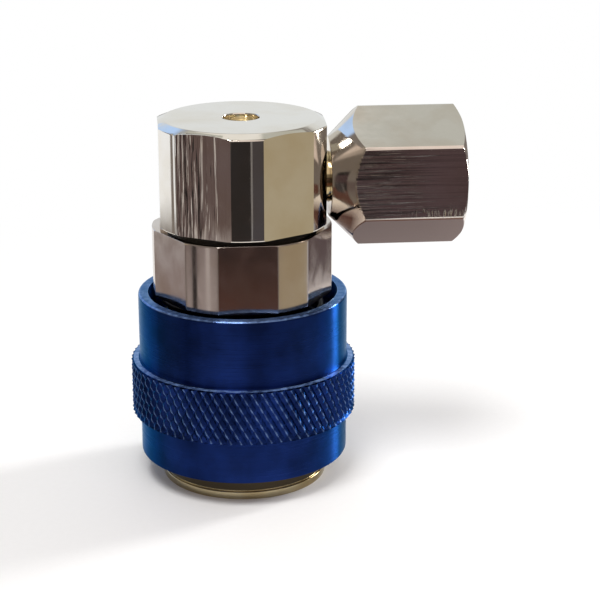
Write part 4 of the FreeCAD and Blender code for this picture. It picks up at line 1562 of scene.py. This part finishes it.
@dataclass
class Studio:
    """Floor, light and camera, in metres and degrees."""

    sheet_corners: tuple[Pair, ...] = ((-0.042, -0.055), (0.053, -0.055), (-0.095, 0.490),
                                       (0.216, 0.490))
    sheet_fade: Pair = (0.03, 0.14)
    camera_place: Triple = (-0.014968, -0.233296, 0.101984)
    camera_tilt: float = 71.872
    camera_turn: float = -5.654
    lens: float = 104.29
    sensor: float = 36.0

    def build(self) -> None:
        """Sets the scene round the object."""
        self.floor()
        self.surroundings()
        for lamp in LAMPS:
            lamp.hang()
        self.camera()
        deselect_all()

    def floor(self) -> None:
        """Lays the pale sheet: narrow in front, and as wide behind as the camera sees."""
        deselect_all()
        bpy.ops.mesh.primitive_plane_add(size=1.0)
        sheet = bpy.context.object
        sheet.name = sheet.data.name = "floor_sheet"
        for vertex, corner in zip(sheet.data.vertices, self.sheet_corners):
            vertex.co = (*corner, 0.0)
        # paper: matt and nearly white, with a faint fibre; plain white far behind the object
        material, tree, place = empty_material("paper_pale_matt")
        colour = add_node(tree, "Mix", {"data_type": "RGBA", "A": srgb("#F6F6F5"),
                                        "B": srgb("#FAFAF9")},
                          {"Factor": pattern(tree, place, (0.8, 0.8, 0.8), 4.0)})
        paper = add_node(tree, "BsdfPrincipled", {"Roughness": 0.9}, {"Base Color": colour})
        back = add_node(tree, "SeparateXYZ", None, {"Vector": place}).outputs["Y"]
        far = add_node(tree, "MapRange", {"interpolation_type": "SMOOTHSTEP",
                                          "From Min": self.sheet_fade[0],
                                          "From Max": self.sheet_fade[1]}, {"Value": back})
        ray = add_node(tree, "LightPath")
        seen = add_node(tree, "Math", {"operation": "ADD"}, {0: ray.outputs["Is Camera Ray"],
                                                             1: ray.outputs["Is Glossy Ray"]})
        clear = add_node(tree, "Math", {"operation": "ADD", "use_clamp": True},
                         {0: seen, 1: ray.outputs["Is Transmission Ray"]})
        share = add_node(tree, "Math", {"operation": "MULTIPLY"}, {0: far, 1: clear})
        white = add_node(tree, "Emission", {"Strength": 1.0})
        shader = add_node(tree, "MixShader", None, {0: share, 1: paper, 2: white})
        add_node(tree, "OutputMaterial", None, {"Surface": shader})
        sheet.data.materials.append(material)

    def surroundings(self) -> None:
        """Makes the dim warm room with the soft areas that the plating mirrors."""
        world = bpy.data.worlds.new("studio_room")
        bpy.context.scene.world = world
        world.use_nodes = True
        tree = world.node_tree
        tree.nodes.clear()
        way = add_node(tree, "TexCoord").outputs["Generated"]
        rise = add_node(tree, "SeparateXYZ", None, {0: way}).outputs["Z"]
        level = add_node(tree, "VectorMath", {"operation": "MULTIPLY", 1: (1, 1, 0)}, {0: way})
        heading = add_node(tree, "VectorMath", {"operation": "NORMALIZE"}, {0: level})
        light = add_node(tree, "RGB")
        light.outputs[0].default_value = ROOM_BASE
        for area in ROOM_AREAS:
            light = area.paint(tree, heading, rise, light)
        background = add_node(tree, "Background", {"Strength": 1.0}, {"Color": light})
        add_node(tree, "OutputWorld", None, {"Surface": background})

    def camera(self) -> None:
        """Places the camera where the photograph was taken from."""
        bpy.ops.object.camera_add(location=self.camera_place,
                                  rotation=(math.radians(self.camera_tilt), 0.0,
                                            math.radians(self.camera_turn)))
        camera = bpy.context.object
        camera.data.lens = self.lens
        camera.data.sensor_width = self.sensor
        bpy.context.scene.camera = camera
        bpy.context.scene.view_settings.view_transform = "Standard"


def main() -> None:
    """Builds the object and the studio."""
    logging.basicConfig(level=logging.INFO, format="%(name)s: %(message)s")
    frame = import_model()
    finishes = Finishes()
    pieces = [SwivelHead().build(finishes), HexBody().build(finishes), Socket().build(finishes),
              Sleeve().build(finishes), *HoseNut().build(finishes), *Seals().build(finishes),
              SideNeck().build(finishes), *(spring.build(finishes) for spring in SPRINGS)]
    InnerParts().build(frame, finishes)
    for piece in pieces:
        LOG.info("%s: %d faces", piece.name, len(piece.data.polygons))
    Studio().build()


if __name__ == "__main__":
    main()
